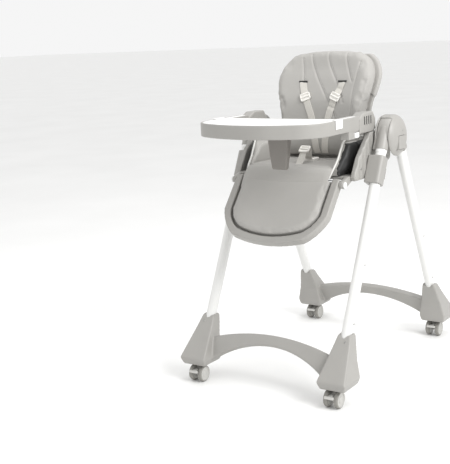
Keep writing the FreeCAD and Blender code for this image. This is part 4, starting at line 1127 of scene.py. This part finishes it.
def make_back_shell():
    grey = plastic()
    shell = moulded("back_shell", "back_shell_moulding", grey, 0.0026, 8)
    done(smooth_shade(shell, 60), "backrest", ["back_shell"])
    _, high, _ = spot("back_shell")
    # The leather hood is a thick skin over the top of the shell, with an arched lower hem.
    hood = bpy.data.objects.new("back_hood", shell.data.copy())
    bpy.context.scene.collection.objects.link(hood)
    work = bmesh.new()
    work.from_mesh(hood.data)
    hem = high.z - 0.046
    gone = [f for f in work.faces
            if f.calc_center_median().z < hem - 0.085 * (f.calc_center_median().x / 0.17) ** 2]
    bmesh.ops.delete(work, geom=gone, context="FACES")
    for vertex in work.verts:
        vertex.co += vertex.normal * 0.0006
    work.to_mesh(hood.data)
    work.free()
    step = hood.modifiers.new("skin", "SOLIDIFY")
    step.thickness = 0.0026
    step.offset = 1
    settle(hood)
    crown(hood, 0.004)
    hood.data.materials.clear()
    hood.data.materials.append(leather())
    done(smooth_shade(hood, 60), "backrest")
    tree = surface_of(shell)
    arch = [(x, 0.4, hem - 0.085 * (x / 0.17) ** 2) for x in np.linspace(-0.172, 0.172, 60)]
    landed = dropped(tree, arch, (0, -1, 0), 0.0016)
    binding = swept("hood_binding", [p for p, _ in landed], round_section(0.0024), leather_trim())
    done(binding, "backrest")
    # Harness slots, two columns of three, each with a raised lip and a black block of painted shade in its
    # opening.
    shade_blocks, lips = [], []
    for side, _ in SIDES:
        for z in (0.845, 0.895, 0.945):
            landed = dropped(tree, [(side * 0.073, 0.4, z)], (0, -1, 0), 0.0)
            if not landed:
                continue
            place, normal = landed[0]
            tilt = turned("X", -math.degrees(math.atan2(normal.z, normal.y)) * -1, place)
            lips.append(block("lip", place - Vector((0.021, 0.001, 0.0062)),
                              place + Vector((0.021, 0.0016, 0.0062)),
                              grey, 0.0012, tilt))
            shade_blocks.append(block("slot_shade", place - Vector((0.016, 0.001, 0.0028)),
                                 place + Vector((0.016, 0.0019, 0.0032)), painted_shade_plastic(), 0.0008, tilt))
    if lips:
        done(joined("harness_slot_lips", lips), "backrest")
        done(joined("harness_slot_throats", shade_blocks), "backrest")
    # Two stiffening ribs that curve from the lower middle out to the sides, and a level ridge.
    routes = [curved([(side * 0.030, 0.745), (side * 0.062, 0.800), (side * 0.120, 0.850),
                      (side * 0.158, 0.880)])
              for side, _ in SIDES]
    routes.append(curved([(-0.150, 0.920), (0, 0.922), (0.150, 0.920)]))
    for index, route in enumerate(routes):
        landed = dropped(tree, dense([(x, 0.4, z) for x, z in route], 0.004), (0, -1, 0), -0.0012)
        if len(landed) > 3:
            rib = swept(f"back_rib_{index}", [p for p, _ in landed], [
                (-0.0075, 0), (-0.0052, 0.0044), (-0.0022, 0.0062), (0.0022, 0.0062), (0.0052, 0.0044),
                (0.0075, 0)],
                grey, ups=[n for _, n in landed])
            done(rib, "backrest")
    handle = crisp("recline_handle", "recline_grip", dark_plastic(), 0.0016, 3)
    done(handle, "recline_handle", ["recline_handle"])


def adjuster(name, place, normal, along, material):
    """A ladder-lock adjuster: a rounded frame with two bars that the webbing threads through."""
    across = normal.cross(along).normalized()
    turn = Matrix((across, along, normal)).transposed().to_4x4()
    seat = Matrix.Translation(place) @ turn
    wide, tall, thick = 0.0180, 0.0135, 0.0056
    bars = [block(name, (-wide, -tall, 0), (wide, tall, 0.0024), material, 0.001, seat)]
    for low, high in (((-wide, -tall, 0), (wide, -tall + 0.005, thick)),
                      ((-wide, tall - 0.005, 0), (wide, tall, thick)),
                      ((-wide, -tall, 0), (-wide + 0.004, tall, thick)),
                      ((wide - 0.004, -tall, 0), (wide, tall, thick)),
                      ((-wide, -0.002, 0.0012), (wide, 0.002, thick + 0.0012))):
        bars.append(block(name, low, high, material, 0.0011, seat))
    return joined(name, bars)


def make_harness(back_tree):
    web = webbing()
    light = gloss_plastic("acetal_ivory_grey", "E6E4DF", 0.3)
    wide = sizes().strap_wide
    clips = []
    for side, side_name in SIDES:
        route = dense([(x * MM * side, -0.4, z * MM)
                       for x, z in curved([(74, 952), (66, 925), (55, 900), (42, 868), (33, 842), (26, 810),
                                           (22, 780), (18, 745), (14, 716)], 6)], 0.004)
        landed = dropped(back_tree, route, (0, 1, 0), 0.0005)
        strap = swept(f"shoulder_webbing_{side_name}", [p for p, _ in landed], strap_section(wide), web,
                      ups=smoothed([n for _, n in landed]), weave=True)
        done(strap, "backrest", [f"shoulder_strap_{side_name}"])
        # Painted shade: a black block where the webbing runs into its slot.
        slot_shade_piece = block(f"strap_slot_{side_name}", landed[0][0] - Vector((0.0155, 0.003, 0.002)),
                           landed[0][0] + Vector((0.0155, 0.0012, 0.0045)), painted_shade_plastic(), 0.001)
        done(slot_shade_piece, "backrest")
        pick = min(range(len(landed)), key=lambda i: abs(landed[i][0].z - 0.905))
        place, normal = landed[pick]
        ahead = (landed[pick - 2][0] - landed[pick + 2][0]).normalized()
        normal = (normal - ahead * normal.dot(ahead)).normalized()
        clips.append(adjuster(f"strap_clip_{side_name}", place + normal * 0.0012, normal, ahead, light))
    done(joined("strap_ladder_locks", clips), "backrest", ["strap_adjusters"])
    low, high, middle = spot("harness_buckle")
    arch = curved([(0.006, at(0, -168, 0).y, 0.6955), (0.007, at(0, -158, 0).y, 0.706),
                   (0.010, at(0, -130, 0).y, 0.742),
                   (0.008, at(0, -108, 0).y, 0.744), (0.004, low.y - 0.006, 0.714),
                   (0, low.y + 0.006, 0.7045)], 7)
    ups = []
    for index in range(len(arch)):
        ahead = Vector(arch[min(index + 1, len(arch) - 1)]) - Vector(arch[max(index - 1, 0)])
        ups.append(Vector((1, 0, 0)).cross(ahead).normalized())
    crotch = swept("crotch_webbing", [Vector(p) for p in arch], strap_section(wide), web, ups=ups, weave=True)
    done(crotch, "seat", ["crotch_strap"])
    pick = len(arch) // 2 - 4
    ahead = (Vector(arch[pick + 1]) - Vector(arch[pick - 1])).normalized()
    lock = adjuster("crotch_clip", Vector(arch[pick]) + ups[pick] * 0.001, ups[pick], ahead, light)
    done(lock, "seat")
    buckle = crisp("harness_buckle", "buckle_body", light, 0.0008, 2)
    done(buckle, "seat", ["harness_buckle"])
    press = spun("buckle_press", [(0.0, 0.0095), (0.0012, 0.0095), (0.002, 0.0088), (0.0024, 0.007),
                                  (0.0021, 0.0004)],
                 (middle.x, middle.y, high.z - 0.0004), dark_plastic(), axis="Z", segments=40)
    done(press, "seat")


def smoothed(normals, rounds=6):
    """Normals along a line, averaged with their neighbours."""
    normals = [n.copy() for n in normals]
    for _ in range(rounds):
        normals = [(normals[max(i - 1, 0)] + n + normals[min(i + 1, len(normals) - 1)]).normalized()
                   for i, n in enumerate(normals)]
    return normals


# Armrests, tray and footrest

def make_armrests():
    grey = plastic()
    for side, side_name in SIDES:
        arm = moulded(f"armrest_{side_name}", f"arm_moulding_{side_name}", grey, 0.0018, 16)
        done(smooth_shade(arm, 60), "armrests", [f"armrest_{side_name}"])
        _, high, _ = spot(f"armrest_{side_name}")
        low, _, _ = spot(f"armrest_{side_name}")
        outer = side * max(abs(low.x), abs(high.x))
        cuts = []
        for index in range(4):
            y = at(0, -122 + index * 15, 0).y
            reach = sorted((outer - side * 0.0016, outer + side * 0.0005))
            # Painted shade: a black block stands in each notch's groove.
            cuts.append(block("notch_shade", (reach[0], y - 0.0026, 0.826), (reach[1], y + 0.0026, 0.852),
                              painted_shade_plastic(), 0.0009))
            reach = sorted((outer - side * 0.001, outer + side * 0.0016))
            cuts.append(block("fin", (reach[0], y + 0.0036, 0.824), (reach[1], y + 0.0064, 0.854), grey,
                              0.0009))
        done(joined(f"arm_notches_{side_name}", cuts), "armrests")


def make_tray():
    grey = plastic()
    gloss = white_gloss()
    base = moulded("tray_base", "tray_base_moulding", grey, 0.0020, 12)
    done(smooth_shade(base, 60), "tray_base", ["tray_base"])
    post = moulded("crotch_post", "crotch_post_moulding", dark_plastic(), 0.0020, 30)
    low, high, _ = spot("crotch_post")
    for vertex in post.data.vertices:
        drop = (high.z - vertex.co.z) / (high.z - low.z)
        vertex.co.x *= 1 - 0.30 * drop * drop
    done(smooth_shade(post, 60), "tray_base", ["crotch_post"])
    insert = moulded("tray_insert", "tray_insert_moulding", gloss, 0.0018, 6)
    done(smooth_shade(insert, 60), "tray_insert", ["tray_insert"])
    for _, side_name in SIDES:
        clip = crisp(f"tray_clip_{side_name}", f"tray_latch_{side_name}", gloss, 0.0011)
        done(clip, "tray_insert", [f"tray_clip_{side_name}"])
        button = crisp(f"tray_button_{side_name}", f"tray_push_{side_name}", gloss, 0.0006, 2)
        done(button, f"tray_button_{side_name}", [f"tray_button_{side_name}"])


def make_footrest():
    grey = plastic()
    shell = moulded("footrest_frame", "footrest_moulding", grey, 0.0022, 9)
    done(smooth_shade(shell, 60), "footrest", ["footrest_frame"])
    pad = node_copy("footrest_pad", "footrest_padding", leather())
    lean = math.radians(50)
    behind = Vector((0, math.sin(lean), -math.cos(lean)))
    puffed(pad, behind, 0.006)
    done(pad, "footrest", ["footrest_pad"])


# Stage

WORLD_STRENGTH = 0.92
FLOOR_REACH = 80

def make_stage():
    floor_stuff, tree, surface, place = start_material("matt_painted_floor_white", 0.7)
    if tree is not None:
        tint = mottled(tree, place, shade("F4F4F3", 0.99), linear("F7F7F6"), 1.5)
        tree.links.new(tint, surface.inputs["Base Color"])
    corners = [(x * FLOOR_REACH, y * FLOOR_REACH, 0) for x, y in ((-1, -1), (1, -1), (1, 1), (-1, 1))]
    floor = make_object("studio_floor", corners, [(0, 1, 2, 3)], floor_stuff, False)
    world = bpy.data.worlds.new("studio")
    bpy.context.scene.world = world
    world.use_nodes = True
    world.node_tree.nodes["Background"].inputs[0].default_value = (1, 1, 1, 1)
    world.node_tree.nodes["Background"].inputs[1].default_value = WORLD_STRENGTH
    for name, place, aim, power, size in (
            ("key", (2.9, -0.9, 2.5), (0, 0, 0.7), 88, 1.6),
            ("top", (0.2, 0.3, 3.4), (0, 0, 0.8), 26, 1.6),
            ("fill", (-2.6, -2.4, 1.6), (0, 0, 0.6), 6, 2.0)):
        light = bpy.data.lights.new(name, "AREA")
        light.energy = power
        light.size = size
        lamp = bpy.data.objects.new(name, light)
        lamp.location = place
        lamp.rotation_euler = (Vector(aim) - Vector(place)).to_track_quat("-Z", "Y").to_euler()
        bpy.context.scene.collection.objects.link(lamp)
    bpy.context.scene.view_settings.view_transform = "Standard"
    make_camera()


def make_camera():
    azimuth, elevation, roll = (math.radians(a) for a in (34.53, 11.565, -2.52))
    ahead = Vector((-math.sin(azimuth) * math.cos(elevation), math.cos(azimuth) * math.cos(elevation),
                    -math.sin(elevation)))
    level = Vector((math.cos(azimuth), math.sin(azimuth), 0))
    above = level.cross(ahead)
    right = level * math.cos(roll) + above * math.sin(roll)
    up = right.cross(ahead)
    camera = bpy.data.objects.new("camera", bpy.data.cameras.new("camera"))
    camera.matrix_world = Matrix.Translation(at(1535.5, -2828.0, 1112.1)) @ Matrix(
        (right, up, -ahead)).transposed().to_4x4()
    camera.data.lens = 73.69
    bpy.context.scene.collection.objects.link(camera)
    bpy.context.scene.camera = camera


# Operators

class CHAIR_OT_legs(bpy.types.Operator):
    """Make the powder-coated leg tubes, their collars and rivets"""
    bl_idname = "chair.legs"
    bl_label = "Leg tubes"

    def execute(self, context):
        make_legs()
        return {"FINISHED"}


class CHAIR_OT_bases(bpy.types.Operator):
    """Make the two arched bases that join the feet"""
    bl_idname = "chair.bases"
    bl_label = "Arched bases"

    def execute(self, context):
        make_bases()
        return {"FINISHED"}


class CHAIR_OT_castors(bpy.types.Operator):
    """Make the twin-disc castors with their brake pedals"""
    bl_idname = "chair.castors"
    bl_label = "Castors"

    def execute(self, context):
        make_castors()
        return {"FINISHED"}


class CHAIR_OT_hubs(bpy.types.Operator):
    """Make the folding hubs and their push buttons"""
    bl_idname = "chair.hubs"
    bl_label = "Folding hubs"

    def execute(self, context):
        make_hubs()
        return {"FINISHED"}


class CHAIR_OT_seat(bpy.types.Operator):
    """Make the seat's side cheeks, sliders, pan and vents"""
    bl_idname = "chair.seat"
    bl_label = "Seat mouldings"

    def execute(self, context):
        make_side_panels()
        make_seat_pan()
        return {"FINISHED"}


class CHAIR_OT_padding(bpy.types.Operator):
    """Make the seat and back padding and the harness that lies on them"""
    bl_idname = "chair.padding"
    bl_label = "Padding and harness"

    def execute(self, context):
        make_seat_padding()
        make_harness(make_back_cushion())
        return {"FINISHED"}


class CHAIR_OT_backrest(bpy.types.Operator):
    """Make the back shell with its hood, slots, ribs and recline grip"""
    bl_idname = "chair.backrest"
    bl_label = "Back shell"

    def execute(self, context):
        make_back_shell()
        return {"FINISHED"}


class CHAIR_OT_tray(bpy.types.Operator):
    """Make the armrests, the tray, its insert, latches and buttons"""
    bl_idname = "chair.tray"
    bl_label = "Armrests and tray"

    def execute(self, context):
        make_armrests()
        make_tray()
        return {"FINISHED"}


class CHAIR_OT_footrest(bpy.types.Operator):
    """Make the footrest and its padding"""
    bl_idname = "chair.footrest"
    bl_label = "Footrest"

    def execute(self, context):
        make_footrest()
        return {"FINISHED"}


class CHAIR_OT_stage(bpy.types.Operator):
    """Make the floor, the lights and the camera"""
    bl_idname = "chair.stage"
    bl_label = "Stage"

    def execute(self, context):
        make_stage()
        return {"FINISHED"}


STEPS = (CHAIR_OT_stage, CHAIR_OT_legs, CHAIR_OT_bases, CHAIR_OT_castors, CHAIR_OT_hubs, CHAIR_OT_seat,
         CHAIR_OT_backrest, CHAIR_OT_padding, CHAIR_OT_tray, CHAIR_OT_footrest)


class CHAIR_PT_panel(bpy.types.Panel):
    """Sizes, colours and steps of the high chair"""
    bl_idname = "CHAIR_PT_panel"
    bl_label = "High Chair"
    bl_space_type = "VIEW_3D"
    bl_region_type = "UI"
    bl_category = "High Chair"

    def draw(self, context):
        for group in (context.scene.chair_sizes, context.scene.chair_colours):
            for name in group.__annotations__:
                self.layout.prop(group, name)
        for step in STEPS:
            self.layout.operator(step.bl_idname)


CLASSES = (ChairSizes, ChairColours) + STEPS + (CHAIR_PT_panel,)


def register():
    for entry in CLASSES:
        bpy.utils.register_class(entry)
    bpy.types.Scene.chair_sizes = bpy.props.PointerProperty(type=ChairSizes)
    bpy.types.Scene.chair_colours = bpy.props.PointerProperty(type=ChairColours)


def unregister():
    del bpy.types.Scene.chair_colours
    del bpy.types.Scene.chair_sizes
    for entry in reversed(CLASSES):
        bpy.utils.unregister_class(entry)


def main():
    register()
    for step in STEPS:
        group, name = step.bl_idname.split(".")
        getattr(getattr(bpy.ops, group), name)()


if __name__ == "__main__":
    main()
